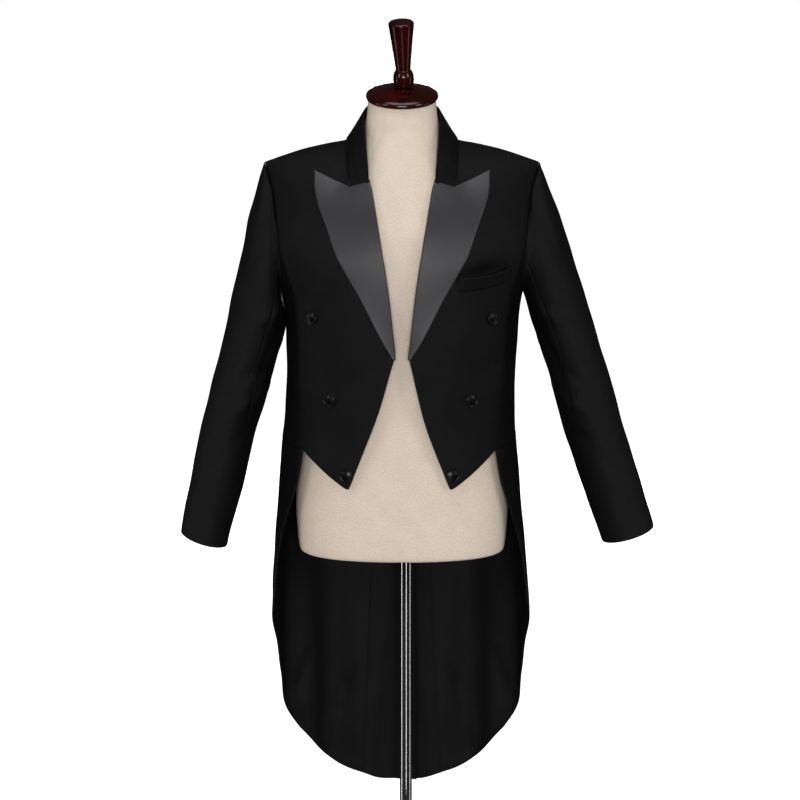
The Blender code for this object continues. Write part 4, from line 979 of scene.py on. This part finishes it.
# Sleeves. The edges seen from the front differ by side, and the rest is cut alike.
SleeveEdge = namedtuple("SleeveEdge", "outer_x outer_z inner_x inner_z")
SleeveCut = namedtuple("SleeveCut", "half_depth middle_y join front_seam hind_seam")
SleeveRing = namedtuple("SleeveRing", SleeveEdge._fields + SleeveCut._fields)
SLEEVE_EDGES = {
    "right": [
        SleeveEdge(0.2315, 1.3760, 0.1995, 1.1720),
        SleeveEdge(0.2405, 1.3420, 0.1935, 1.1520),
        SleeveEdge(0.2510, 1.3000, 0.1902, 1.1300),
        SleeveEdge(0.2605, 1.2500, 0.1945, 1.1060),
        SleeveEdge(0.2728, 1.2000, 0.2008, 1.0840),
        SleeveEdge(0.2855, 1.1400, 0.2108, 1.0460),
        SleeveEdge(0.2985, 1.0830, 0.2224, 1.0000),
        SleeveEdge(0.3115, 1.0280, 0.2348, 0.9570),
        SleeveEdge(0.3245, 0.9680, 0.2468, 0.9060),
        SleeveEdge(0.3370, 0.9070, 0.2588, 0.8560),
        SleeveEdge(0.3480, 0.8550, 0.2700, 0.8200),
        SleeveEdge(0.3570, 0.8120, 0.2800, 0.7870),
        SleeveEdge(0.3605, 0.7885, 0.2860, 0.7645),
    ],
    "left": [
        SleeveEdge(0.2325, 1.3730, 0.2010, 1.1740),
        SleeveEdge(0.2440, 1.3420, 0.2055, 1.1580),
        SleeveEdge(0.2590, 1.3000, 0.2115, 1.1370),
        SleeveEdge(0.2760, 1.2500, 0.2200, 1.1120),
        SleeveEdge(0.2930, 1.1980, 0.2290, 1.0850),
        SleeveEdge(0.3110, 1.1400, 0.2418, 1.0480),
        SleeveEdge(0.3290, 1.0820, 0.2564, 1.0000),
        SleeveEdge(0.3470, 1.0300, 0.2700, 0.9560),
        SleeveEdge(0.3665, 0.9680, 0.2867, 0.9060),
        SleeveEdge(0.3855, 0.9070, 0.3034, 0.8570),
        SleeveEdge(0.4010, 0.8570, 0.3153, 0.8220),
        SleeveEdge(0.4130, 0.8170, 0.3262, 0.7920),
        SleeveEdge(0.4176, 0.7976, 0.3338, 0.7725),
    ],
}
SLEEVE_CUTS = [
    SleeveCut(0.0720, 0.002, 0.30, 128, 118),
    SleeveCut(0.0760, 0.002, 0.70, 124, 116),
    SleeveCut(0.0770, 0.002, 1.00, 120, 114),
    SleeveCut(0.0765, 0.002, 1.00, 117, 112),
    SleeveCut(0.0745, 0.001, 1.00, 115, 110),
    SleeveCut(0.0715, -0.002, 1.00, 116, 108),
    SleeveCut(0.0690, -0.006, 1.00, 122, 106),
    SleeveCut(0.0660, -0.012, 1.00, 132, 104),
    SleeveCut(0.0625, -0.018, 1.00, 148, 102),
    SleeveCut(0.0590, -0.026, 1.00, 162, 100),
    SleeveCut(0.0560, -0.033, 1.00, 170, 98),
    SleeveCut(0.0535, -0.039, 1.00, 172, 97),
    SleeveCut(0.0520, -0.042, 1.00, 172, 97),
]
TOP_SLEEVE_COLUMNS = 12
UNDER_SLEEVE_COLUMNS = 7
SLEEVE_STEPS = 8
LAST_RING = len(SLEEVE_CUTS)
ARMHOLE_LINE = joined(ARMHOLE_FRONT, ARMHOLE_UNDER, ARMHOLE_BACK[::-1])
ARMHOLE_HALF = ARMHOLE_ROWS * FINE


def short_turn(turn):
    """The same turn, from -180 to 180 degrees."""
    return (turn + 180) % 360 - 180


def armhole_points(turn):
    """Points of the armhole's edge, by the turn from the shoulder round the front."""
    turn = turn % 360
    last = len(ARMHOLE_LINE) - 1
    place = np.where(turn <= 180, turn / 180 * ARMHOLE_HALF,
                     ARMHOLE_HALF + (turn - 180) / 180 * (last - ARMHOLE_HALF))
    return shell(np.stack([np.interp(place, np.arange(last + 1), row) for row in ARMHOLE_LINE.T], axis=-1))


# Creases of a sleeve: a turn and a ring at each end, counted from the shoulder
SleeveCrease = namedtuple("SleeveCrease", "turn0 ring0 turn1 ring1 depth width")
SLEEVE_CREASES = [
    SleeveCrease(150, 3.2, 118, 6.2, -0.0030, 0.009),
    SleeveCrease(132, 2.6, 100, 5.0, 0.0028, 0.009),
    SleeveCrease(168, 4.0, 140, 7.0, 0.0024, 0.009),
    SleeveCrease(172, 5.6, 84, 7.0, -0.0030, 0.010),
    SleeveCrease(178, 6.4, 92, 7.9, 0.0032, 0.010),
    SleeveCrease(176, 7.3, 104, 8.7, -0.0026, 0.009),
    SleeveCrease(66, 1.0, 50, 4.0, -0.0016, 0.012),
    SleeveCrease(96, 9.4, 60, 11.0, 0.0018, 0.012),
    SleeveCrease(196, 5.4, 286, 7.2, -0.0030, 0.010),
    SleeveCrease(190, 6.5, 270, 8.2, 0.0030, 0.010),
    SleeveCrease(300, 1.6, 262, 4.6, -0.0026, 0.012),
    SleeveCrease(318, 1.2, 300, 4.2, 0.0020, 0.012),
    SleeveCrease(250, 9.0, 300, 11.2, -0.0018, 0.012),
]
SLEEVE_HEAD = 0.0022
SLEEVE_HEAD_RING = 0.55
SLEEVE_HEAD_SPREAD = 0.35
RING_STEP = 0.048
MEAN_HALF_DEPTH = 0.068
# Creases fade towards the seams, the cuff and the armhole
SEAM_SHARE = 0.45
ARMHOLE_REACH = 0.010
NORMAL_RING = 0.12
NORMAL_ARC = 3.0


def sleeve_rise(turn, ring, half_depth):
    """Rise of the creases and of the sleeve head, at turns and rings."""
    head = np.exp(-((ring - SLEEVE_HEAD_RING) / SLEEVE_HEAD_SPREAD) ** 2)
    rise = SLEEVE_HEAD * head * np.clip(np.cos(np.radians(turn)), 0, 1)
    for number, crease in enumerate(SLEEVE_CREASES):
        around = short_turn(turn - crease.turn0) * np.radians(1) * half_depth
        along_x = short_turn(crease.turn1 - crease.turn0) * math.radians(1) * MEAN_HALF_DEPTH
        along_z = (crease.ring1 - crease.ring0) * RING_STEP
        length = math.hypot(along_x, along_z)
        down = (ring - crease.ring0) * RING_STEP
        t = (around * along_x + down * along_z) / length ** 2
        inside = np.clip(t, 0.0, 1.0)
        off = (around * along_z - down * along_x) / length - 0.05 * length * np.sin(3 * inside + number)
        beyond = np.maximum(0.0, np.maximum(-t, t - 1)) * length
        taper = np.sqrt(np.clip(np.sin(math.pi * inside), 0.0, 1.0))
        away = (off / crease.width) ** 2 + (beyond / crease.width) ** 2
        rise = rise + crease.depth * taper * np.exp(-away)
    return rise


def sleeve_rings(side_name):
    """Close rings of a sleeve, the first of them on the armhole."""
    rows = [SleeveRing(*edge, *shared) for edge, shared in zip(SLEEVE_EDGES[side_name], SLEEVE_CUTS)]
    fine = smoothed(np.array([rows[0]._replace(join=0.0)] + rows, dtype=float), SLEEVE_STEPS)
    join = SleeveRing._fields.index("join")
    fine[:, join] = np.clip(fine[:, join], 0.0, 1.0)
    return fine


def ring_values(fine, ring):
    """What a sleeve's rings say at ring numbers."""
    numbers = np.linspace(0, LAST_RING, len(fine))
    return SleeveRing(*(np.interp(ring, numbers, column) for column in fine.T))


def sleeve_points(fine, turn, ring):
    """Points of the sleeve's outer face on the left, by turn and ring number."""
    at = ring_values(fine, ring)
    angle = np.radians(turn)
    x = (at.outer_x + at.inner_x) / 2 + (at.outer_x - at.inner_x) / 2 * np.cos(angle)
    y = at.middle_y - at.half_depth * np.sin(angle)
    z = (at.outer_z + at.inner_z) / 2 + (at.outer_z - at.inner_z) / 2 * np.cos(angle)
    start = armhole_points(turn)
    return start + (np.stack([x, y, z], axis=-1) - start) * at.join[..., None]


def sleeve_normals(fine, turn, ring):
    """Unit normals of the sleeve's outer face on the left."""
    before, after = (sleeve_points(fine, turn + step, ring) for step in (-NORMAL_ARC, NORMAL_ARC))
    above = sleeve_points(fine, turn, np.maximum(ring - NORMAL_RING, 0.0))
    below = sleeve_points(fine, turn, np.minimum(ring + NORMAL_RING, LAST_RING))
    return unit(np.cross(after - before, below - above))


def sleeve_piece(kind, side_name, fine, start, end, columns):
    """One piece of a sleeve, between turns at its first and its last seam."""
    side = SIDES[side_name]
    turn = start + (end - start) * np.linspace(0, 1, columns * FINE + 1)[None, :]
    ring = np.broadcast_to(np.linspace(0, LAST_RING, len(fine))[:, None], turn.shape)
    stacked = with_close_rim(np.stack([turn, ring], axis=-1))
    turn, ring = stacked[..., 0], stacked[..., 1]
    points, normals = sleeve_points(fine, turn, ring), sleeve_normals(fine, turn, ring)
    rim = rim_distances(points)
    at_seam = SEAM_SHARE + (1 - SEAM_SHARE) * ease(0.0, CALM_REACH, np.minimum(rim.inner, rim.outer))
    at_armhole = ease(0.0, ARMHOLE_REACH, rim.top)
    rise = sleeve_rise(turn, ring, ring_values(fine, ring).half_depth)
    rise = rise * ease(0.0, CALM_REACH, rim.bottom) * at_seam * at_armhole
    rise = rise + 1.2 * rest_wave(points, 5.1 * side) * at_armhole
    for distance in (rim.inner, rim.outer, rim.top):
        rise = rise + seam_rise(distance)
    rise = rise + edge_rise(rim.bottom)
    outer = placed(points + normals * rise[..., None], side)
    wall = WOOL_WALL + hem_wall(rim.bottom)
    add_sheet(kind, side_name, outer, outer - turned_to(normals, side) * wall[..., None])


def sleeve(side_name):
    """A sleeve of two pieces, set in the armhole."""
    fine = sleeve_rings(side_name)
    at = SleeveRing(*fine.T[..., None])
    sleeve_piece("top_sleeve", side_name, fine, -at.hind_seam, at.front_seam, TOP_SLEEVE_COLUMNS)
    sleeve_piece("under_sleeve", side_name, fine, at.front_seam, 360 - at.hind_seam, UNDER_SLEEVE_COLUMNS)


# Turned pieces
def rounded(profile, radius, steps=4):
    """A profile with its inner corners rounded off."""
    made = [profile[0]]
    for before, corner, after in zip(profile, profile[1:], profile[2:]):
        before, corner, after = (np.array(point) for point in (before, corner, after))
        back, ahead = before - corner, after - corner
        reach = min(radius, 0.45 * np.linalg.norm(back), 0.45 * np.linalg.norm(ahead))
        start, end = corner + unit(back) * reach, corner + unit(ahead) * reach
        for k in range(steps + 1):
            t = k / steps
            point = start * (1 - t) ** 2 + corner * 2 * t * (1 - t) + end * t * t
            made.append((float(point[0]), float(point[1])))
    return made + [profile[-1]]


def turned_piece(name, profile, segments, place, made, node_name):
    """Spin a profile of radii and heights, both ends on the axis, into a closed body at its place."""
    maker = bmesh.new()
    verts = [maker.verts.new((radius, 0.0, height)) for radius, height in profile]
    edges = [maker.edges.new(pair) for pair in zip(verts, verts[1:])]
    bmesh.ops.spin(maker, geom=verts + edges, axis=(0, 0, 1), cent=(0, 0, 0), angle=math.tau,
                   steps=segments, use_merge=True)
    bmesh.ops.remove_doubles(maker, verts=maker.verts[:], dist=1e-6)
    bmesh.ops.dissolve_degenerate(maker, edges=maker.edges[:], dist=1e-7)
    bmesh.ops.recalc_face_normals(maker, faces=maker.faces[:])
    bmesh.ops.transform(maker, matrix=place, verts=maker.verts[:])
    finish_piece(object_of(name, maker), made, node_name)


# Buttons
BUTTON_RADIUS = 0.0110
BACK_BUTTON_RADIUS = 0.0105
FRONT_BUTTONS = [front(0.1455, 1.1490), front(0.1142, 1.0175), front(0.0860, 0.8950)]
BACK_BUTTON = rear(0.0270, 0.9780)
BUTTON_LIFT = 0.0002
# A low dome with a raised ring near its rim, by shares of the radius and by heights
BUTTON_PROFILE = [(0.0, 0.0), (0.90, 0.0), (1.0, 0.0010), (1.0, 0.0022), (0.95, 0.0031), (0.88, 0.0034),
                  (0.81, 0.0032), (0.76, 0.0029), (0.60, 0.0035), (0.35, 0.0042), (0.0, 0.0045)]
BUTTON_ROUNDING = 0.0007


def button(name, at, side, radius, node_name):
    """A cloth-covered button, laid on the shell."""
    profile = [(share * radius, height) for share, height in BUTTON_PROFILE]
    profile = rounded(profile, BUTTON_ROUNDING, 3)
    normal = Vector(turned_to(outward(at), side))
    middle = Vector(placed(shell(at), side)) + normal * BUTTON_LIFT
    place = Matrix.Translation(middle) @ normal.to_track_quat("Z", "Y").to_matrix().to_4x4()
    turned_piece(name, profile, 40, place, BUTTON_CLOTH, node_name)


# Dress form
FORM_SQUARENESS = 2.25
FormRing = namedtuple("FormRing", "height half_width front back")
FORM_FOOT = 0.7485
FORM_BODY = [
    FormRing(FORM_FOOT, 0.1640, 0.100, 0.093),
    FormRing(0.7600, 0.1710, 0.105, 0.098),
    FormRing(0.8300, 0.1760, 0.108, 0.101),
    FormRing(0.9000, 0.1720, 0.106, 0.092),
    FormRing(0.9700, 0.1620, 0.102, 0.085),
    FormRing(1.0300, 0.1580, 0.101, 0.083),
    FormRing(1.0900, 0.1620, 0.106, 0.087),
    FormRing(1.1500, 0.1710, 0.112, 0.096),
    FormRing(1.2000, 0.1810, 0.1165, 0.104),
    FormRing(1.2500, 0.1880, 0.1185, 0.109),
]
ShoulderRing = namedtuple("ShoulderRing", "half_width front back middle_y")
FORM_SHOULDER = [
    ShoulderRing(0.1900, 0.1160, 0.1060, 0.000),
    ShoulderRing(0.1760, 0.1060, 0.0980, 0.002),
    ShoulderRing(0.1500, 0.0940, 0.0890, 0.004),
    ShoulderRing(0.1220, 0.0810, 0.0790, 0.006),
    ShoulderRing(0.0980, 0.0700, 0.0700, 0.009),
    ShoulderRing(0.0800, 0.0610, 0.0630, 0.012),
    ShoulderRing(0.0680, 0.0550, 0.0570, 0.013),
]
ARMPIT_RING = FormRing(1.2500, 0.1900, 0.118, 0.108)
ARMPIT_SHARES = (0.35, 0.72)
FORM_DROP = 0.0039
NECK_ROOT_DROP = 0.0050
NECK_ROOT_REACH = (0.085, 0.125)
FORM_SHRINK = 1.055
NECK_RADIUS = 0.0560
NECK_TOP = 1.4946
NECK_MIDDLE_Y = 0.014
NECK_TILT = math.radians(16.0)
NECK_FRONT = 0.93
NECK_BACK = 0.96
NECK_FLARE = ((0.45, 0.0590), (0.75, NECK_RADIUS), (1.0, NECK_RADIUS))
FORM_SEGMENTS = 112


def shell_height(x, y):
    """Height of the shell over places in plan."""
    x = np.minimum(np.abs(x), TIP_X - 0.001)
    top, ridge_y = ridge_height_at(x), ridge_depth_at(x)
    reach = (1 - (x / TIP_X) ** SQUARENESS) ** (1 / SQUARENESS)
    chest_y = np.where(y < ridge_y, -SECTIONS[-1].front * reach, SECTIONS[-1].back * reach)
    share = np.clip((y - ridge_y) / (chest_y - ridge_y), 0.0, 1.0)
    drop = 1 - (1 - share ** SHOULDER_ROUNDNESS) ** (1 / SHOULDER_ROUNDNESS)
    return top - drop * (top - CHEST_HEIGHT)


def form_ring(row, middle_y, height):
    """A ring of points; height is a number or a function of x and y."""
    angle = np.linspace(0, math.tau, FORM_SEGMENTS, endpoint=False)
    across, along = np.sin(angle), np.cos(angle)
    power = 2 / FORM_SQUARENESS
    x = row.half_width * np.sign(across) * np.abs(across) ** power
    y = middle_y - np.where(along > 0, row.front, row.back) * np.sign(along) * np.abs(along) ** power
    z = height(x, y) if callable(height) else np.full_like(x, height)
    return np.stack([x + CENTRE_X, y, z], axis=-1)


def under_shell(middle_y):
    """Height function of a ring that lies clear under the shell."""
    def height(x, y):
        spread_y = middle_y + (y - middle_y) * FORM_SHRINK
        root = NECK_ROOT_DROP * (1 - ease(*NECK_ROOT_REACH, np.abs(x)))
        return shell_height(x * FORM_SHRINK, spread_y) - FORM_DROP - root
    return height


def neck_top(_, y):
    """Height of the neck's slanting top."""
    return NECK_TOP + (y - NECK_MIDDLE_Y) * math.tan(NECK_TILT)


def form_rings():
    """Rings of the form's cover, from its foot to the neck's top."""
    rings = [form_ring(row, 0.0, row.height) for row in FORM_BODY]
    shoulder = [form_ring(row, row.middle_y, under_shell(row.middle_y)) for row in FORM_SHOULDER]
    armpit = form_ring(ARMPIT_RING, 0.0, ARMPIT_RING.height)
    rings += [armpit + (shoulder[0] - armpit) * share for share in ARMPIT_SHARES] + shoulder
    foot = rings[-1][:, 2]
    for share, radius in NECK_FLARE:
        row = ShoulderRing(radius, radius * NECK_FRONT, radius * NECK_BACK, NECK_MIDDLE_Y)
        ring = form_ring(row, row.middle_y, neck_top)
        ring[:, 2] = foot + (ring[:, 2] - foot) * share
        rings.append(ring)
    return np.array(rings)


FORM_STEPS = 4
FORM_SEAM = 0.0009
FORM_SEAM_ANGLES = (0, 30, 90, 150, 180, 210, 270, 330)
FORM_SEAM_SPREAD = 2.2
FORM_SMOOTHINGS = 14
SMOOTHED_FROM = (1.10, 1.18)
SMOOTHED_TO = (1.40, 1.44)
LINEN_PER_DEGREE = 0.0083 / 3


def form_surface():
    """Close rings of the cover, with grooves along its seams."""
    rings = smoothed(form_rings(), FORM_STEPS)
    rings[:, :, 2] = np.minimum(rings[:, :, 2], neck_top(0, rings[:, :, 1]))
    for _ in range(FORM_SMOOTHINGS):
        height = rings[1:-1, :, 2:]
        share = 0.5 * ease(*SMOOTHED_FROM, height) * (1 - ease(*SMOOTHED_TO, height))
        rings[1:-1] += share * ((rings[:-2] + rings[2:]) / 2 - rings[1:-1])
    angle = np.degrees(np.linspace(0, math.tau, FORM_SEGMENTS, endpoint=False))
    groove = np.zeros(FORM_SEGMENTS)
    for seam in FORM_SEAM_ANGLES:
        groove += np.exp(-(short_turn(angle - seam) / FORM_SEAM_SPREAD) ** 2)
    middle = rings.mean(axis=1, keepdims=True)
    inwards = unit((middle - rings) * np.array([1.0, 1.0, 0.0]))
    return rings + inwards * (groove * FORM_SEAM)[None, :, None]


def dress_form():
    """The form's linen cover, closed at its foot and its neck."""
    rings = form_surface()
    last = len(rings) - 1
    maker = bmesh.new()
    grid = bmesh.ops.create_grid(maker, x_segments=FORM_SEGMENTS, y_segments=last, size=0.5)
    for vert in grid["verts"]:
        i = round((vert.co.x + 0.5) * FORM_SEGMENTS) % FORM_SEGMENTS
        j = round((vert.co.y + 0.5) * last)
        vert.co = rings[j, i]
    layer = maker.loops.layers.uv.new("cloth")
    for face in maker.faces:
        for loop in face.loops:
            place = loop.vert.co - Vector((CENTRE_X, NECK_MIDDLE_Y, 0.0))
            turn = math.degrees(math.atan2(place.x, -place.y))
            loop[layer].uv = (turn * LINEN_PER_DEGREE, place.z)
    bmesh.ops.remove_doubles(maker, verts=maker.verts[:], dist=1e-6)
    bmesh.ops.holes_fill(maker, edges=[edge for edge in maker.edges if edge.is_boundary], sides=0)
    bmesh.ops.recalc_face_normals(maker, faces=maker.faces[:])
    finish_piece(object_of("dress_form_cover", maker), LINEN, "dress_form")


# Neck cap, finial, pole and base
CAP_SEAT = 0.0004
FINIAL_SEAT = 0.0009
CAP_PROFILE = [(0.0, 0.0), (0.0570, 0.0), (0.0588, 0.0015), (0.0592, 0.0045), (0.0580, 0.0078),
               (0.0530, 0.0105), (0.0420, 0.0142), (0.0290, 0.0176), (0.0180, 0.0198), (0.0, 0.0198)]
FINIAL_PROFILE = [(0.0, 0.0), (0.0150, 0.0), (0.0164, 0.0040), (0.0171, 0.0110), (0.0166, 0.0190),
                  (0.0142, 0.0250), (0.0120, 0.0275), (0.0126, 0.0340), (0.0158, 0.0620), (0.0190, 0.0880),
                  (0.0207, 0.1020), (0.0208, 0.1055), (0.0190, 0.1075), (0.0, 0.1090)]
FINIAL_LEAN = math.radians(-2.5)
FINIAL_SHIFT = 0.0030
POLE_RADIUS = 0.0102
POLE_SEAT = 0.0003
BASE_PROFILE = [(0.0, 0.0), (0.178, 0.0), (0.180, 0.002), (0.180, 0.008), (0.176, 0.0105),
                (0.120, 0.0135), (0.040, 0.0160), (0.024, 0.0200), (0.020, 0.0280), (0.019, 0.0500),
                (0.0175, 0.0520), (0.0, 0.0520)]


def on_neck(name, profile, rise, node_name, lean=0.0, shift=0.0):
    """A lacquered piece on the neck's slanting top."""
    tilt = Matrix.Rotation(NECK_TILT, 4, "X")
    foot = Vector((CENTRE_X, NECK_MIDDLE_Y, NECK_TOP)) + tilt @ Vector((shift, 0.0, rise))
    place = Matrix.Translation(foot) @ tilt @ Matrix.Rotation(lean, 4, "Y")
    turned_piece(name, rounded(profile, 0.0018), 96, place, LACQUER, node_name)


def stand():
    on_neck("neck_cap_wood", CAP_PROFILE, CAP_SEAT, "neck_cap")
    finial_rise = CAP_SEAT + CAP_PROFILE[-1][1] + FINIAL_SEAT
    on_neck("finial_wood", FINIAL_PROFILE, finial_rise, "finial", FINIAL_LEAN, FINIAL_SHIFT)
    here = Matrix.Identity(4)
    turned_piece("base_disc", rounded(BASE_PROFILE, 0.0016), 160, here, ENAMEL, "base")
    foot, top = BASE_PROFILE[-1][1] + POLE_SEAT, FORM_FOOT - POLE_SEAT
    tube = [(0.0, foot), (POLE_RADIUS, foot), (POLE_RADIUS, top), (0.0, top)]
    turned_piece("pole_tube", rounded(tube, 0.0004), 64, here, CHROME, "pole")


def coat():
    for side_name, side in SIDES.items():
        forepart(side_name)
        side_body(side_name)
        back(side_name)
        skirt(side_name)
        lapel(side_name)
        sleeve(side_name)
        for row, at in enumerate(FRONT_BUTTONS, start=1):
            button(f"covered_button_{side_name}_{row}", at, side, BUTTON_RADIUS,
                   f"front_button_{side_name}_{row}")
        button(f"waist_button_{side_name}", BACK_BUTTON, side, BACK_BUTTON_RADIUS,
               f"back_button_{side_name}")
    breast_welt()
    collar()


# Camera, light and floor
CAMERA_AT = Vector((-0.0099, -4.2, 1.72))
CAMERA_AIM = Vector((-0.0099, 0.0, 1.0))
CAMERA_LENS = 116.216


def set_camera():
    camera = linked("camera", bpy.data.cameras.new("camera"))
    camera.data.lens = CAMERA_LENS
    camera.data.sensor_width = 36.0
    camera.location = CAMERA_AT
    camera.rotation_euler = (CAMERA_AIM - CAMERA_AT).to_track_quat("-Z", "Y").to_euler()
    bpy.context.scene.camera = camera


# Lamps look at the coat's middle line. Soft and gloss say how much of each kind of light they give.
Lamp = namedtuple("Lamp", "name x y z aim_z width height power soft gloss")
LAMPS = [
    Lamp("front softbox", 0.0, -5.2, 1.30, 1.20, 2.2, 1.4, 150, 1.0, 1.0),
    Lamp("left softbox", -3.2, -2.6, 2.3, 1.1, 1.2, 1.8, 26, 1.0, 1.0),
    Lamp("right softbox", 3.2, -2.6, 2.3, 1.1, 1.2, 1.8, 34, 1.0, 1.0),
    Lamp("top softbox", 0.0, -0.7, 3.6, 1.2, 1.8, 1.8, 34, 1.0, 0.6),
    Lamp("back softbox", 0.0, 4.8, 1.5, 1.1, 1.6, 1.6, 110, 1.0, 0.6),
    Lamp("left strip", -0.745, -0.09, 0.75, 0.75, 0.050, 1.48, 1.3, 0.0, 1.0),
    Lamp("middle strip", 0.10, -0.90, 0.36, 0.36, 0.050, 0.70, 0.6, 0.0, 1.0),
    Lamp("right strip", 0.745, -0.09, 0.75, 0.75, 0.050, 1.48, 0.9, 0.0, 1.0),
]
WORLD_LIGHT = 0.24
WORLD_GLOSS = 0.05


def set_light():
    for lamp in LAMPS:
        data = bpy.data.lights.new(lamp.name, "AREA")
        data.shape = "RECTANGLE"
        data.size, data.size_y = lamp.width, lamp.height
        data.energy = lamp.power
        data.diffuse_factor, data.specular_factor = lamp.soft, lamp.gloss
        thing = linked(lamp.name, data)
        thing.location = (lamp.x, lamp.y, lamp.z)
        aim = Vector((CENTRE_X, 0.0, lamp.aim_z)) - thing.location
        thing.rotation_euler = aim.to_track_quat("-Z", "Y").to_euler()
        thing.visible_camera = False
    world = bpy.data.worlds.new("studio")
    world.use_nodes = True
    tree = world.node_tree
    seen = tree.nodes["Background"]
    seen.inputs["Color"].default_value = (1.0, 1.0, 1.0, 1.0)
    path = node(tree, "ShaderNodeLightPath", (-800, 0))
    seen_part = arithmetic(tree, "MULTIPLY_ADD", (-600, 100), path.outputs["Is Camera Ray"],
                           1 - WORLD_LIGHT, WORLD_LIGHT)
    strength = arithmetic(tree, "MULTIPLY_ADD", (-400, 100), path.outputs["Is Glossy Ray"],
                          WORLD_GLOSS - WORLD_LIGHT, seen_part)
    tree.links.new(strength, seen.inputs["Strength"])
    bpy.context.scene.world = world
    bpy.context.scene.view_settings.view_transform = "Standard"


# The floor looks pure white, takes a faint shadow, and is dark in reflections
FLOOR_GLOW = 0.95
FLOOR_LEVEL = 0.55


def set_floor():
    maker = bmesh.new()
    bmesh.ops.create_grid(maker, x_segments=1, y_segments=1, size=60.0)
    white = material("floor white", (FLOOR_LEVEL, FLOOR_LEVEL, FLOOR_LEVEL), 0.9, Specular_IOR_Level=0.0,
                     Emission_Color=(1.0, 1.0, 1.0, 1.0))
    tree, shader = parts_of(white)
    path = node(tree, "ShaderNodeLightPath", (-400, 0))
    glow = arithmetic(tree, "MULTIPLY", (-200, 0), path.outputs["Is Camera Ray"], FLOOR_GLOW)
    dark = node(tree, "ShaderNodeBsdfDiffuse", (0, -500), {"Color": (0.03, 0.03, 0.03, 1.0)})
    both = node(tree, "ShaderNodeMixShader", (300, -200), {
        0: path.outputs["Is Glossy Ray"], 1: shader.outputs[0], 2: dark.outputs[0]})
    tree.links.new(glow, shader.inputs["Emission Strength"])
    tree.links.new(both.outputs[0], tree.nodes["Material Output"].inputs["Surface"])
    floor = object_of("floor", maker)
    floor.data.materials.append(white)


coat()
dress_form()
stand()
set_camera()
set_light()
set_floor()
